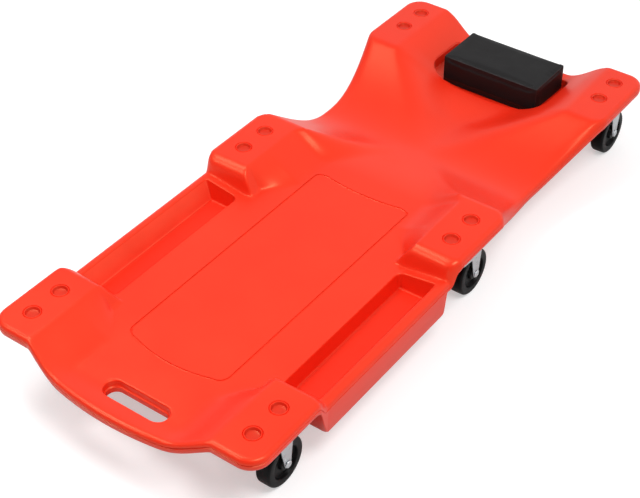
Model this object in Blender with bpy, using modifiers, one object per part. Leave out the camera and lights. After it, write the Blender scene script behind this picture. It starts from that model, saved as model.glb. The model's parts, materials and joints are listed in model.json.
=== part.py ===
"""Mechanic creeper: a moulded deck with two tool trays, a padded headrest and six swivel casters.

Metres, +Z up, the floor at z = 0, +Y towards the head end, symmetric about x = 0.
"""
import math

import bmesh
import bpy
from mathutils import Matrix

# Deck outline
LENGTH = 1.006
WIDTH = 0.426
CORNER_RADIUS = 0.028
FOOT_BOW = 0.025           # the foot end bows out this far past the foot pads
FOOT_BOW_REACH = 0.146     # half width of the bow
HEAD_INSET = 0.005         # the head end is drawn in this far between its pads
WAIST_WIDTH = 0.361        # narrowest width, at the shoulders
WAIST_Y = 0.204            # place of the waist along the deck
LIP = 0.019                # height of the rolled edge
EDGE_RADIUS = 0.0055       # rounding of the rolled edge

# Caster pads, the raised corners of the deck
PAD_HEIGHT = 0.122         # pad tops above the floor
PAD_INNER = 0.143          # inner edge of the pads, from the centre line
FOOT_PAD_LENGTH = 0.134
MID_PAD_LENGTH = 0.130
MID_PAD_Y = 0.019
HEAD_PAD_LENGTH = 0.149
HEAD_PAD_INNER = 0.149     # inner edge of the head pads at the head end
HEAD_CASTER_INSET = 0.064  # swivel axis of the head casters from the head end
MID_CASTER_SET = 0.0045    # swivel axis of the mid casters past the middle of their pads
PAD_EDGE = 0.0365          # swivel axis from the side of the deck
DIMPLE_RADIUS = 0.0125
DIMPLE_DEPTH = 0.0015

# Heights of the bed below the pad tops
PANEL_DROP = 0.0295
FOOT_LIP_DROP = 0.021
FOOT_LIP_RUN = 0.045       # length over which the bed climbs to the foot edge
BED_HALF = 0.080           # half width of the flat of the bed
WAIST_DROP = 0.0495        # at the sides
WAIST_CROWN = 0.003        # the waist climbs this far from its sides to the middle
SADDLE_DROP = 0.0475       # where the ridges between bed, bowl and waist cross
SADDLE_Y = 0.2106
RIDGE_RUN = 0.140          # length along Y of the ridges from the crossing to the pads
BOWL_DROP = 0.051          # lowest place of the bowl in front of the headrest
BOWL_SET = 0.080           # lowest place of the bowl past the crossing
BOWL_HALF = 0.068          # half width of the bowl's floor at the front of the headrest
HEAD_HALF = 0.083          # half width of the bowl's floor at the head end
SEAT_DROP = 0.0405         # under the front of the headrest
HEAD_END_DROP = 0.036

# Tool trays beside the bed
TRAY_WIDTH = 0.0575
TRAY_INSET = 0.0045        # the sides of the deck are drawn in this far beside the trays
TRAY_RIM = 0.0135          # width of the rim along the outer side
TRAY_RIM_DROP = 0.021      # rim below the pad tops
TRAY_DEPTH = 0.028
TRAY_DRAFT = 0.006         # the tray's walls lean this far from rim to floor
TRAY_WALL = 0.009
TRAY_FLOOR = 0.016
TRAY_LEDGE = 0.013         # ledge between the tray and the middle pad's slope
FOOT_STEP_RUN = 0.013      # slope from the foot pad down to the tray
MID_STEP_RUN = 0.018       # slope from the middle pad down to the ledge

# Hand hole at the foot end
SLOT_LENGTH = 0.094
SLOT_WIDTH = 0.034
SLOT_INSET = 0.048         # middle of the hand hole from the foot end
SLOT_X = 0.009             # middle of the hand hole from the centre line

# Headrest
HEADREST_WIDTH = 0.170
HEADREST_DEPTH = 0.089
HEADREST_END = 0.033       # back of the headrest from the head end
HEADREST_TOP_DROP = 0.003  # top edge of the headrest below the pad tops
HEADREST_CROWN = 0.0025
HEADREST_DRAW = 0.0015     # the sides are drawn in this far between the corners
HEADREST_ROUND = 0.004
BOARD_MARGIN = 0.005       # the board under the cushion is smaller by this all round
BOARD_THICKNESS = 0.005
BOARD_SCREW_SPACING = 0.100

# Casters
WHEEL_DIAMETER = 0.070
WHEEL_WIDTH = 0.021
WHEEL_HUB_WIDTH = 0.0222
WHEEL_HUB_RADIUS = 0.0110
WHEEL_RING = 0.0115        # depth of the flat ring at the wheel's rim
WHEEL_WEB = 0.012          # thickness of the web between ring and hub
WHEEL_SHOULDER = 0.003
WHEEL_GAP = 0.0035         # wheel to fork crown
TRAIL = 0.023              # axle behind the swivel axis
CASTER_HEIGHT = 0.087      # top of the mounting plate above the floor
PLATE_THICKNESS = 0.0025
PLATE_LENGTH = 0.074
PLATE_WIDTH = 0.036
PLATE_HOLE_SPACING = 0.050
FORK_SHEET = 0.0024
FORK_FRONT = 0.012         # crown in front of the swivel axis
FORK_REAR = 0.0335         # crown behind the swivel axis
LEG_FRONT = 0.0095         # front edge of a leg at the crown, behind the swivel axis
LEG_END_RADIUS = 0.0060
AXLE_RADIUS = 0.004
AXLE_HEAD_RADIUS = 0.0055
AXLE_HEAD = 0.0018
KINGPIN_RADIUS = 0.004
KINGPIN_HEAD_RADIUS = 0.007
KINGPIN_HEAD = 0.003
RACE_RADIUS = 0.0150
RACE_WALL = 0.008
BOSS_LENGTH = 0.088
BOSS_WIDTH = 0.050

# Fasteners and fits
SCREW_RADIUS = 0.0026
SCREW_HEAD_RADIUS = 0.0052
SCREW_HEAD = 0.004
SCREW_BITE = 0.018         # length of screw in the deck
CLEARANCE = 0.0003
BED_CLEARANCE = 0.0006     # under and over the board, which lies on the curved bed

# Mesh fineness
COLUMN_STEP = 0.040
ROW_STEP = 0.036
ROUND_STEPS = 24
SMALL_STEPS = 12

HALF = WIDTH / 2
FOOT_END = -LENGTH / 2
HEAD_END = LENGTH / 2
FOOT_PAD_END = FOOT_END + FOOT_BOW
FOOT_PAD_HEAD = FOOT_PAD_END + FOOT_PAD_LENGTH
MID_PAD_FOOT = MID_PAD_Y - MID_PAD_LENGTH / 2
MID_PAD_HEAD = MID_PAD_Y + MID_PAD_LENGTH / 2
HEAD_PAD_FOOT = HEAD_END - HEAD_PAD_LENGTH
STEP_FOOT = MID_PAD_FOOT - MID_STEP_RUN
TRAY_OUTER = HALF - TRAY_INSET - TRAY_RIM
TRAY_INNER = TRAY_OUTER - TRAY_WIDTH
TRAY_NEAR = FOOT_PAD_HEAD + FOOT_STEP_RUN
TRAY_FAR = STEP_FOOT - TRAY_LEDGE
TRAY_TOP = PAD_HEIGHT - TRAY_RIM_DROP - TRAY_DEPTH
TRAY_BOTTOM = TRAY_TOP - TRAY_FLOOR
STRAIGHT_FOOT = FOOT_PAD_END + CORNER_RADIUS + EDGE_RADIUS
STRAIGHT_HEAD = HEAD_END - CORNER_RADIUS - EDGE_RADIUS
CASTER_X = HALF - PAD_EDGE
CASTER_Y = {
    "foot": FOOT_PAD_END + FOOT_PAD_LENGTH / 2,
    "mid": MID_PAD_Y + MID_CASTER_SET,
    "head": HEAD_END - HEAD_CASTER_INSET,
}
HEADREST_Y = HEAD_END - HEADREST_END - HEADREST_DEPTH / 2
HEADREST_FRONT = HEADREST_Y - HEADREST_DEPTH / 2
WHEEL_RADIUS = WHEEL_DIAMETER / 2
CROWN_BOTTOM = WHEEL_DIAMETER + WHEEL_GAP
CROWN_TOP = CROWN_BOTTOM + FORK_SHEET
PLATE_BOTTOM = CASTER_HEIGHT - PLATE_THICKNESS
LEG_INNER = WHEEL_HUB_WIDTH / 2 + CLEARANCE
LEG_OUTER = LEG_INNER + FORK_SHEET


def clear_scene():
    for obj in list(bpy.data.objects):
        bpy.data.objects.remove(obj)


def new_collection(name):
    group = bpy.data.collections.new(name)
    bpy.context.scene.collection.children.link(group)
    return group


def new_material(name, colour, roughness, metallic=0.0):
    material = bpy.data.materials.new(name)
    material.use_nodes = True
    shader = material.node_tree.nodes["Principled BSDF"]
    shader.inputs["Base Color"].default_value = (*colour, 1.0)
    shader.inputs["Roughness"].default_value = roughness
    shader.inputs["Metallic"].default_value = metallic
    return material


clear_scene()
PARTS = new_collection("mechanic_creeper")
CUTTERS = new_collection("cutters")
RED_PLASTIC = new_material("red_polyethylene", (0.90, 0.045, 0.018), 0.42)
BLACK_VINYL = new_material("black_vinyl", (0.018, 0.017, 0.017), 0.5)
BOARD = new_material("plywood", (0.42, 0.27, 0.14), 0.7)
ZINC = new_material("zinc_plated_steel", (0.72, 0.74, 0.76), 0.32, 1.0)
BLACK_PLASTIC = new_material("black_polypropylene", (0.02, 0.02, 0.021), 0.35)


def add_part(name, mesh, material, parent=None):
    obj = bpy.data.objects.new(name, mesh)
    PARTS.objects.link(obj)
    if not mesh.materials:
        mesh.materials.append(material)
    obj.parent = parent
    return obj


def add_cutter(name, mesh):
    obj = bpy.data.objects.new(name, mesh)
    CUTTERS.objects.link(obj)
    obj.hide_render = True
    obj.display_type = "WIRE"
    return obj


def add_empty(name, location, parent=None):
    empty = bpy.data.objects.new(name, None)
    PARTS.objects.link(empty)
    empty.empty_display_size = 0.03
    empty.location = location
    empty.parent = parent
    return empty


def add_boolean(target, operation, cutter):
    modifier = target.modifiers.new(cutter.name, "BOOLEAN")
    modifier.operation = operation
    modifier.solver = "EXACT"
    modifier.object = cutter


def finished_mesh(name, bm, smooth_angle=35):
    mesh = bpy.data.meshes.new(name)
    bm.to_mesh(mesh)
    bm.free()
    mesh.shade_smooth()
    mesh.set_sharp_from_angle(angle=math.radians(smooth_angle))
    return mesh


def evaluated_mesh(obj, name, smooth_angle=35):
    """The object's shape with its modifiers, as a mesh of its own."""
    bpy.context.view_layer.update()
    evaluated = obj.evaluated_get(bpy.context.evaluated_depsgraph_get())
    bm = bmesh.new()
    bm.from_mesh(bpy.data.meshes.new_from_object(evaluated))
    bmesh.ops.remove_doubles(bm, verts=bm.verts[:], dist=1e-6)
    bpy.data.objects.remove(obj)
    return finished_mesh(name, bm, smooth_angle)


def turned_mesh(name, profile, steps):
    """A closed profile of (radius, height) points, top to bottom down its outer side, turned about Z."""
    mesh = bpy.data.meshes.new(name)
    on_axis = profile[0][0] == 0.0
    count = len(profile)
    edges = [(i, i + 1) for i in range(count - 1)]
    if not on_axis:
        edges.append((count - 1, 0))
    mesh.from_pydata([(radius, 0.0, height) for radius, height in profile], edges, [])
    obj = bpy.data.objects.new(name, mesh)
    CUTTERS.objects.link(obj)
    screw = obj.modifiers.new("turn", "SCREW")
    screw.axis = "Z"
    screw.steps = steps
    screw.render_steps = steps
    screw.use_merge_vertices = True
    screw.merge_threshold = 1e-6
    return evaluated_mesh(obj, name)


def flat_mesh(name, outlines, bottom, top):
    """Closed outlines of (x, y) points, the later ones holes in the first, filled between two heights."""
    curve = bpy.data.curves.new(name, "CURVE")
    curve.dimensions = "2D"
    curve.fill_mode = "BOTH"
    curve.extrude = (top - bottom) / 2
    for outline in outlines:
        spline = curve.splines.new("POLY")
        spline.points.add(len(outline) - 1)
        for point, (x, y) in zip(spline.points, outline):
            point.co = (x, y, 0.0, 1.0)
        spline.use_cyclic_u = True
    obj = bpy.data.objects.new(name, curve)
    CUTTERS.objects.link(obj)
    mesh = evaluated_mesh(obj, name)
    mesh.transform(Matrix.Translation((0.0, 0.0, (top + bottom) / 2)))
    return mesh


def arc(centre_x, centre_y, radius, start, end, steps):
    """Points of an arc between two angles in degrees."""
    points = []
    for i in range(steps + 1):
        angle = math.radians(start + (end - start) * i / steps)
        points.append((centre_x + radius * math.cos(angle), centre_y + radius * math.sin(angle)))
    return points


def circle(centre_x, centre_y, radius, steps):
    return arc(centre_x, centre_y, radius, 0, 360, steps)[:-1]


def stadium(length, width, steps):
    """An outline with round ends, long along Y."""
    radius = width / 2
    reach = length / 2 - radius
    return arc(0.0, reach, radius, 0, 180, steps) + arc(0.0, -reach, radius, 180, 360, steps)


def joined_copies(name, mesh, places):
    """One mesh that holds a copy of a mesh at each place."""
    bm = bmesh.new()
    for place in places:
        copy = mesh.copy()
        copy.transform(Matrix.Translation(place))
        bm.from_mesh(copy)
        bpy.data.meshes.remove(copy)
    return finished_mesh(name, bm)


def cylinder_mesh(name, radius, bottom, top, steps):
    bm = bmesh.new()
    bmesh.ops.create_cone(
        bm, cap_ends=True, segments=steps, radius1=radius, radius2=radius, depth=top - bottom,
        matrix=Matrix.Translation((0.0, 0.0, (top + bottom) / 2)),
    )
    return finished_mesh(name, bm)


def clamp(value):
    return min(1.0, max(0.0, value))


def ramp(value, start, end):
    return clamp((value - start) / (end - start))


def ease(value, start, end):
    share = ramp(value, start, end)
    return share * share * (3 - 2 * share)


def straight_through(points, value):
    """A line of straight runs through (place, height) points."""
    for (y0, z0), (y1, z1) in zip(points, points[1:]):
        if value <= y1:
            return z0 + (z1 - z0) * ramp(value, y0, y1)
    return points[-1][1]


def curve_through(points, value):
    """A smooth curve through (place, height) points that doesn't overshoot them."""
    steps = [(z1 - z0) / (y1 - y0) for (y0, z0), (y1, z1) in zip(points, points[1:])]
    slopes = [0.0]
    for before, after in zip(steps, steps[1:]):
        slopes.append(2 * before * after / (before + after) if before * after > 0 else 0.0)
    slopes.append(0.0)
    for i, ((y0, z0), (y1, z1)) in enumerate(zip(points, points[1:])):
        if value <= y1 or i == len(steps) - 1:
            run = y1 - y0
            s = ramp(value, y0, y1)
            return (
                z0 * (1 + 2 * s) * (1 - s) ** 2 + z1 * s * s * (3 - 2 * s)
                + run * (slopes[i] * s * (1 - s) ** 2 - slopes[i + 1] * s * s * (1 - s))
            )


def waist_share(y, start, end):
    """0 at both ends of the waist and 1 at its middle, like a half wave."""
    if y <= WAIST_Y:
        return math.sin(math.pi / 2 * ramp(y, start, WAIST_Y))
    return math.cos(math.pi / 2 * ramp(y, WAIST_Y, end))


def beside_tray(y):
    """1 along a tray, falling to 0 on the slopes up to the pads."""
    return straight_through([
        (FOOT_PAD_HEAD, 0.0),
        (TRAY_NEAR, 1.0),
        (STEP_FOOT, 1.0),
        (MID_PAD_FOOT, 0.0),
    ], y)


def half_width(y):
    pinch = waist_share(y, MID_PAD_HEAD - CORNER_RADIUS / 2, HEAD_PAD_FOOT + CORNER_RADIUS / 2)
    return HALF - (HALF - WAIST_WIDTH / 2) * pinch - TRAY_INSET * beside_tray(y)


def corner_rise(across, inset):
    """How far the rounded corner of a pad stands back from the pad's end."""
    radius = CORNER_RADIUS - inset
    over = min(max(across - (HALF - CORNER_RADIUS), 0.0), radius)
    return radius - math.sqrt(radius * radius - over * over)


def foot_edge(across, inset):
    bow = FOOT_END + FOOT_BOW * (across / FOOT_BOW_REACH) ** 2
    return min(bow, FOOT_PAD_END) + inset + corner_rise(across, inset)


def head_edge(across, inset):
    drawn_in = HEAD_INSET * (1 - ease(across, HEADREST_WIDTH / 2, PAD_INNER))
    return HEAD_END - drawn_in - inset - corner_rise(across, inset)


def middle_height(y):
    """Height of the bed along the centre line."""
    return PAD_HEIGHT - curve_through([
        (FOOT_END, FOOT_LIP_DROP),
        (FOOT_END + FOOT_LIP_RUN, PANEL_DROP),
        (SADDLE_Y - RIDGE_RUN, PANEL_DROP),
        (SADDLE_Y, SADDLE_DROP),
        (SADDLE_Y + BOWL_SET, BOWL_DROP),
        (HEADREST_FRONT, SEAT_DROP),
        (HEAD_END, HEAD_END_DROP),
    ], y)


def side_height(y):
    """Height of the deck along its sides, over pads, tray rims and the waist."""
    waist = WAIST_DROP * waist_share(y, MID_PAD_HEAD, HEAD_PAD_FOOT)
    return PAD_HEIGHT - waist - TRAY_RIM_DROP * beside_tray(y)


def side_share(across, y):
    """0 on the flat of the bed or the bowl's floor and 1 on the sides, with the slopes between."""
    slope_end = straight_through([
        (FOOT_PAD_HEAD, PAD_INNER),
        (TRAY_NEAR, TRAY_OUTER),
        (STEP_FOOT, TRAY_OUTER),
        (MID_PAD_FOOT, PAD_INNER),
        (SADDLE_Y - RIDGE_RUN, PAD_INNER),
        (SADDLE_Y, 0.0),
        (SADDLE_Y + RIDGE_RUN, PAD_INNER),
        (HEAD_END, HEAD_PAD_INNER),
    ], y)
    slope_start = straight_through([
        (FOOT_PAD_HEAD, BED_HALF),
        (TRAY_NEAR, TRAY_INNER),
        (STEP_FOOT, TRAY_INNER),
        (MID_PAD_FOOT, BED_HALF),
        (SADDLE_Y - RIDGE_RUN, BED_HALF),
        (SADDLE_Y, 0.0),
        (HEADREST_FRONT, BOWL_HALF),
        (HEAD_END, HEAD_HALF),
    ], y)
    share = ramp(across, slope_start, max(slope_end, slope_start + CLEARANCE))
    rounding = ramp(y, SADDLE_Y + RIDGE_RUN, HEAD_END)
    return share * share * (2 - share + rounding * (1 - share))


def bed_height(x, y):
    """Top of the deck, without the trays."""
    middle = middle_height(y)
    crown = WAIST_CROWN * waist_share(y, MID_PAD_HEAD, HEAD_PAD_FOOT) * (1 - (x / half_width(y)) ** 2)
    return middle + (side_height(y) + crown - middle) * side_share(abs(x), y)


def tray_share(x, y):
    """0 outside a tray and 1 on its floor."""
    across = abs(x)
    inside = min(across - TRAY_INNER, TRAY_OUTER - across, y - TRAY_NEAR, TRAY_FAR - y)
    return ramp(inside, 0.0, TRAY_DRAFT)


def top_height(x, y):
    bed = bed_height(x, y)
    return bed + (TRAY_TOP - bed) * tray_share(x, y)


def in_tray_box(x, y):
    along = TRAY_NEAR - TRAY_WALL - CLEARANCE < y < TRAY_FAR + TRAY_WALL + CLEARANCE
    return along and abs(x) > TRAY_INNER - TRAY_WALL - CLEARANCE


def under_height(x, y):
    """Underside of the deck, with the boxes that hold the trays."""
    if in_tray_box(x, y):
        return TRAY_BOTTOM
    return bed_height(x, y) - LIP


def stations(marks, step):
    """Sorted marks, with the wide runs between them divided evenly."""
    marks = sorted(marks)
    result = [marks[0]]
    for mark in marks[1:]:
        run = mark - result[-1]
        if run < CLEARANCE:
            continue
        start = result[-1]
        count = math.ceil(run / step)
        result += [start + run * i / count for i in range(1, count + 1)]
    return result


def deck_columns():
    """Columns as shares of the half width, with some on the pads' slopes and some on the trays' walls."""
    side = HALF - EDGE_RADIUS
    tray_side = side - TRAY_INSET
    pad_marks = [BOWL_HALF, BED_HALF, (BED_HALF + PAD_INNER) / 2, PAD_INNER]
    tray_marks = [
        TRAY_INNER - TRAY_WALL, TRAY_INNER, TRAY_INNER + TRAY_DRAFT,
        TRAY_OUTER - TRAY_DRAFT, TRAY_OUTER,
    ]
    marks = [0.0, 1.0] + [x / side for x in pad_marks] + [x / tray_side for x in tray_marks]
    half = stations(marks, COLUMN_STEP / side)
    return [-share for share in reversed(half[1:])] + half


def deck_rows():
    """Rows of (place, reach): reach runs from 0 to -1 at the foot edge and to 1 at the head edge."""
    straight = stations([
        STRAIGHT_FOOT, FOOT_PAD_HEAD, TRAY_NEAR - TRAY_WALL, TRAY_NEAR, TRAY_NEAR + TRAY_DRAFT,
        TRAY_FAR - TRAY_DRAFT, TRAY_FAR, TRAY_FAR + TRAY_WALL, STEP_FOOT, MID_PAD_FOOT,
        SADDLE_Y - RIDGE_RUN, MID_PAD_HEAD, SADDLE_Y, SADDLE_Y + BOWL_SET, HEAD_PAD_FOOT, STRAIGHT_HEAD,
    ], ROW_STEP)
    foot = [(STRAIGHT_FOOT, reach) for reach in (-1.0, -0.6)]
    head = [(STRAIGHT_HEAD, reach) for reach in (0.6, 1.0)]
    return foot + [(y, 0.0) for y in straight] + head


def deck_place(share, row, inset):
    """Place on the plan of a point at a share of the half width, on a row, inset from the outline."""
    y, reach = row
    x = share * (half_width(y) - inset)
    if reach < 0:
        y += (foot_edge(abs(x), inset) - y) * -reach
    if reach > 0:
        y += (head_edge(abs(x), inset) - y) * reach
    return x, y


def deck_mesh():
    """The deck as a grid over its plan, a rolled edge and an underside."""
    columns = deck_columns()
    rows = deck_rows()
    bm = bmesh.new()
    column_of = bm.verts.layers.int.new("column")
    row_of = bm.verts.layers.int.new("row")
    bmesh.ops.create_grid(bm, x_segments=len(columns) - 1, y_segments=len(rows) - 1, size=1.0)
    for vert in bm.verts:
        vert[column_of] = round((vert.co.x + 1) / 2 * (len(columns) - 1))
        vert[row_of] = round((vert.co.y + 1) / 2 * (len(rows) - 1))

    def place(vert, inset, height):
        x, y = deck_place(columns[vert[column_of]], rows[vert[row_of]], inset)
        vert.co = (x, y, height(x, y))

    top = bm.verts[:]
    edge = [e for e in bm.edges if e.is_boundary]
    copy = bmesh.ops.duplicate(bm, geom=bm.verts[:] + bm.edges[:] + bm.faces[:])
    under = [g for g in copy["geom"] if isinstance(g, bmesh.types.BMVert)]
    for vert in top:
        place(vert, EDGE_RADIUS, top_height)
    for vert in under:
        place(vert, EDGE_RADIUS, under_height)
    rolled_edge = [
        (EDGE_RADIUS * 0.3, lambda x, y: top_height(x, y) - EDGE_RADIUS * 0.3),
        (0.0, lambda x, y: top_height(x, y) - EDGE_RADIUS),
        (0.0, lambda x, y: under_height(x, y) + EDGE_RADIUS * 0.7),
        (EDGE_RADIUS, under_height),
    ]
    for inset, height in rolled_edge:
        extruded = bmesh.ops.extrude_edge_only(bm, edges=edge)["geom"]
        edge = [g for g in extruded if isinstance(g, bmesh.types.BMEdge) and g.is_boundary]
        for vert in {v for e in edge for v in e.verts}:
            place(vert, inset, height)
    bmesh.ops.remove_doubles(bm, verts=bm.verts[:], dist=1e-6)
    bmesh.ops.recalc_face_normals(bm, faces=bm.faces[:])
    return finished_mesh("deck", bm)


def caster_places():
    """Name and place of each caster's swivel axis."""
    places = {}
    for row, y in CASTER_Y.items():
        places[row + "_left"] = (-CASTER_X, y)
        places[row + "_right"] = (CASTER_X, y)
    return places


def screw_places():
    """Name and place of each caster screw."""
    places = {}
    for name, (x, y) in caster_places().items():
        places[name + "_screw_foot"] = (x, y - PLATE_HOLE_SPACING / 2)
        places[name + "_screw_head"] = (x, y + PLATE_HOLE_SPACING / 2)
    return places


def headrest_screw_places():
    return {
        "headrest_screw_left": (-BOARD_SCREW_SPACING / 2, HEADREST_Y),
        "headrest_screw_right": (BOARD_SCREW_SPACING / 2, HEADREST_Y),
    }


def make_deck():
    deck = add_part("deck", deck_mesh(), RED_PLASTIC)
    mount = CASTER_HEIGHT + CLEARANCE
    boss = flat_mesh("boss", [stadium(BOSS_LENGTH, BOSS_WIDTH, 6)], mount, PAD_HEIGHT - LIP / 2)
    axes = [(x, y, 0.0) for x, y in caster_places().values()]
    add_boolean(deck, "UNION", add_cutter("caster_bosses", joined_copies("caster_bosses", boss, axes)))

    hole = cylinder_mesh(
        "pilot_hole", SCREW_RADIUS + CLEARANCE,
        mount - LIP / 2, mount + SCREW_BITE + CLEARANCE, SMALL_STEPS // 2
    )
    holes = [(x, y, 0.0) for x, y in screw_places().values()]
    add_boolean(deck, "DIFFERENCE", add_cutter("pilot_holes", joined_copies("pilot_holes", hole, holes)))

    dimple = cylinder_mesh(
        "dimple", DIMPLE_RADIUS, PAD_HEIGHT - DIMPLE_DEPTH, PAD_HEIGHT + DIMPLE_DEPTH, SMALL_STEPS
    )
    add_boolean(deck, "DIFFERENCE", add_cutter("dimples", joined_copies("dimples", dimple, holes)))

    slot = flat_mesh("hand_hole", [stadium(SLOT_LENGTH, SLOT_WIDTH, 6)], 0.0, PAD_HEIGHT)
    slot.transform(Matrix.Rotation(math.pi / 2, 4, "Z"))
    slot.transform(Matrix.Translation((SLOT_X, FOOT_END + SLOT_INSET, 0.0)))
    add_boolean(deck, "DIFFERENCE", add_cutter("hand_hole", slot))

    through = cylinder_mesh("through_hole", SCREW_RADIUS + CLEARANCE, 0.0, PAD_HEIGHT, SMALL_STEPS // 2)
    places = [(x, y, 0.0) for x, y in headrest_screw_places().values()]
    holes = add_cutter("headrest_holes", joined_copies("headrest_holes", through, places))
    add_boolean(deck, "DIFFERENCE", holes)


def block_on_bed(width, depth, draw, lift, top, cells):
    """A block of cells lifted off the bed it lies on, with drawn-in sides and a top at a height rule."""
    bm = bmesh.new()
    bmesh.ops.create_cube(bm, size=1.0)
    for axis, cuts in enumerate(cells):
        along = [e for e in bm.edges if abs((e.verts[0].co - e.verts[1].co)[axis]) > 0.9]
        bmesh.ops.subdivide_edges(bm, edges=along, cuts=cuts - 1, use_grid_fill=True)
    for vert in bm.verts:
        x_share = vert.co.x * 2
        y_share = vert.co.y * 2
        x = (width / 2 - draw * (1 - y_share ** 2)) * x_share
        y = (depth / 2 - draw * (1 - x_share ** 2)) * y_share
        bottom = bed_height(x, HEADREST_Y + y) + lift
        vert.co = (x, HEADREST_Y + y, bottom + (top(x_share, y_share, bottom) - bottom) * (vert.co.z + 0.5))
    return bm


def headrest_top(x_share, y_share, bottom):
    crown = HEADREST_CROWN * (1 - x_share ** 2) * (1 - y_share ** 2)
    return PAD_HEIGHT - HEADREST_TOP_DROP + crown


def board_top(x_share, y_share, bottom):
    return bottom + BOARD_THICKNESS


def make_headrest():
    board_width = HEADREST_WIDTH - 2 * BOARD_MARGIN
    board_depth = HEADREST_DEPTH - 2 * BOARD_MARGIN
    bm = block_on_bed(board_width, board_depth, 0.0, BED_CLEARANCE, board_top, (8, 2, 1))
    board = add_part("headrest_board", finished_mesh("headrest_board", bm), BOARD)
    through = bpy.data.objects["headrest_holes"]
    add_boolean(board, "DIFFERENCE", through)

    lift = BED_CLEARANCE + BOARD_THICKNESS + BED_CLEARANCE
    bm = block_on_bed(HEADREST_WIDTH, HEADREST_DEPTH, HEADREST_DRAW, lift, headrest_top, (8, 4, 2))
    pad = add_part("headrest_pad", finished_mesh("headrest_pad", bm), BLACK_VINYL)
    rounding = pad.modifiers.new("soft_edges", "BEVEL")
    rounding.width = HEADREST_ROUND
    rounding.segments = 2
    rounding.limit_method = "ANGLE"
    rounding.angle_limit = math.radians(50)

    for name, (x, y) in headrest_screw_places().items():
        reach = SCREW_HEAD_RADIUS
        around = [(x + dx, y + dy) for dx in (-reach, 0.0, reach) for dy in (-reach, 0.0, reach)]
        seat = min(bed_height(px, py) for px, py in around) - LIP - BED_CLEARANCE
        tip = bed_height(x, y) + BED_CLEARANCE + BOARD_THICKNESS / 2
        screw = add_part(name, screw_mesh("headrest_screw", tip - seat), ZINC)
        screw.location = (x, y, seat)


def screw_mesh(name, length):
    """A hex head screw that points up, with the top of its head at z = 0."""
    head = cylinder_mesh(name + "_head", SCREW_HEAD_RADIUS, -SCREW_HEAD, 0.0, 6)
    shank = cylinder_mesh(name + "_shank", SCREW_RADIUS, -SCREW_HEAD / 2, length, SMALL_STEPS // 2)
    screw = add_cutter(name, head)
    shaft = add_cutter(name + "_shank", shank)
    add_boolean(screw, "UNION", shaft)
    mesh = evaluated_mesh(screw, name)
    bpy.data.objects.remove(shaft)
    return mesh


def plate_mesh():
    half_spacing = PLATE_HOLE_SPACING / 2
    hole = SCREW_RADIUS + CLEARANCE
    return flat_mesh("caster_plate", [
        stadium(PLATE_LENGTH, PLATE_WIDTH, 8),
        circle(0.0, 0.0, KINGPIN_RADIUS + CLEARANCE, SMALL_STEPS),
        circle(0.0, half_spacing, hole, SMALL_STEPS),
        circle(0.0, -half_spacing, hole, SMALL_STEPS),
    ], PLATE_BOTTOM, CASTER_HEIGHT)


def kingpin_mesh():
    head_top = CROWN_BOTTOM - CLEARANCE
    return turned_mesh("kingpin", [
        (0.0, CASTER_HEIGHT - CLEARANCE),
        (KINGPIN_RADIUS, CASTER_HEIGHT - CLEARANCE),
        (KINGPIN_RADIUS, head_top),
        (KINGPIN_HEAD_RADIUS, head_top),
        (KINGPIN_HEAD_RADIUS * 0.7, head_top - KINGPIN_HEAD),
        (0.0, head_top - KINGPIN_HEAD),
    ], SMALL_STEPS)


def race_mesh():
    """The ring that holds the swivel's balls, between plate and fork."""
    top = PLATE_BOTTOM - CLEARANCE
    bottom = CROWN_TOP + CLEARANCE
    middle = (top + bottom) / 2
    inner = RACE_RADIUS - RACE_WALL
    return turned_mesh("swivel_race", [
        (inner, top), (RACE_RADIUS * 0.9, top),
        (RACE_RADIUS, middle),
        (RACE_RADIUS * 0.9, bottom), (inner, bottom),
    ], ROUND_STEPS)


def leg_outline():
    """Side view of a fork leg: wide at the crown, round at the axle, as (along, height) points."""
    waist = CROWN_BOTTOM - WHEEL_GAP
    end = arc(TRAIL, WHEEL_RADIUS, LEG_END_RADIUS, 192, 353, 8)
    top = CROWN_TOP - CLEARANCE
    front = CLEARANCE - FORK_FRONT
    rear = FORK_REAR - CLEARANCE
    return end + [(rear, waist), (rear, top), (front, top), (front, waist), (LEG_FRONT, waist - FORK_SHEET)]


def fork_mesh():
    axle_hole = circle(TRAIL, WHEEL_RADIUS, AXLE_RADIUS + CLEARANCE, SMALL_STEPS)
    upright = Matrix(((0, 0, 1, 0), (1, 0, 0, 0), (0, 1, 0, 0), (0, 0, 0, 1)))
    side = LEG_OUTER - CLEARANCE
    crown_outline = [(-side, -FORK_FRONT), (side, -FORK_FRONT), (side, FORK_REAR), (-side, FORK_REAR)]
    crown_hole = circle(0.0, 0.0, KINGPIN_RADIUS + CLEARANCE, SMALL_STEPS)
    crown = add_cutter("fork", flat_mesh("fork", [crown_outline, crown_hole], CROWN_BOTTOM, CROWN_TOP))
    legs = []
    for side, start in (("left", -LEG_OUTER), ("right", LEG_INNER)):
        mesh = flat_mesh("fork_leg_" + side, [leg_outline(), axle_hole], start, start + FORK_SHEET)
        mesh.transform(upright)
        legs.append(add_cutter("fork_leg_" + side, mesh))
        add_boolean(crown, "UNION", legs[-1])
    fork = evaluated_mesh(crown, "fork")
    for leg in legs:
        bpy.data.objects.remove(leg)
    return fork


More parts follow.
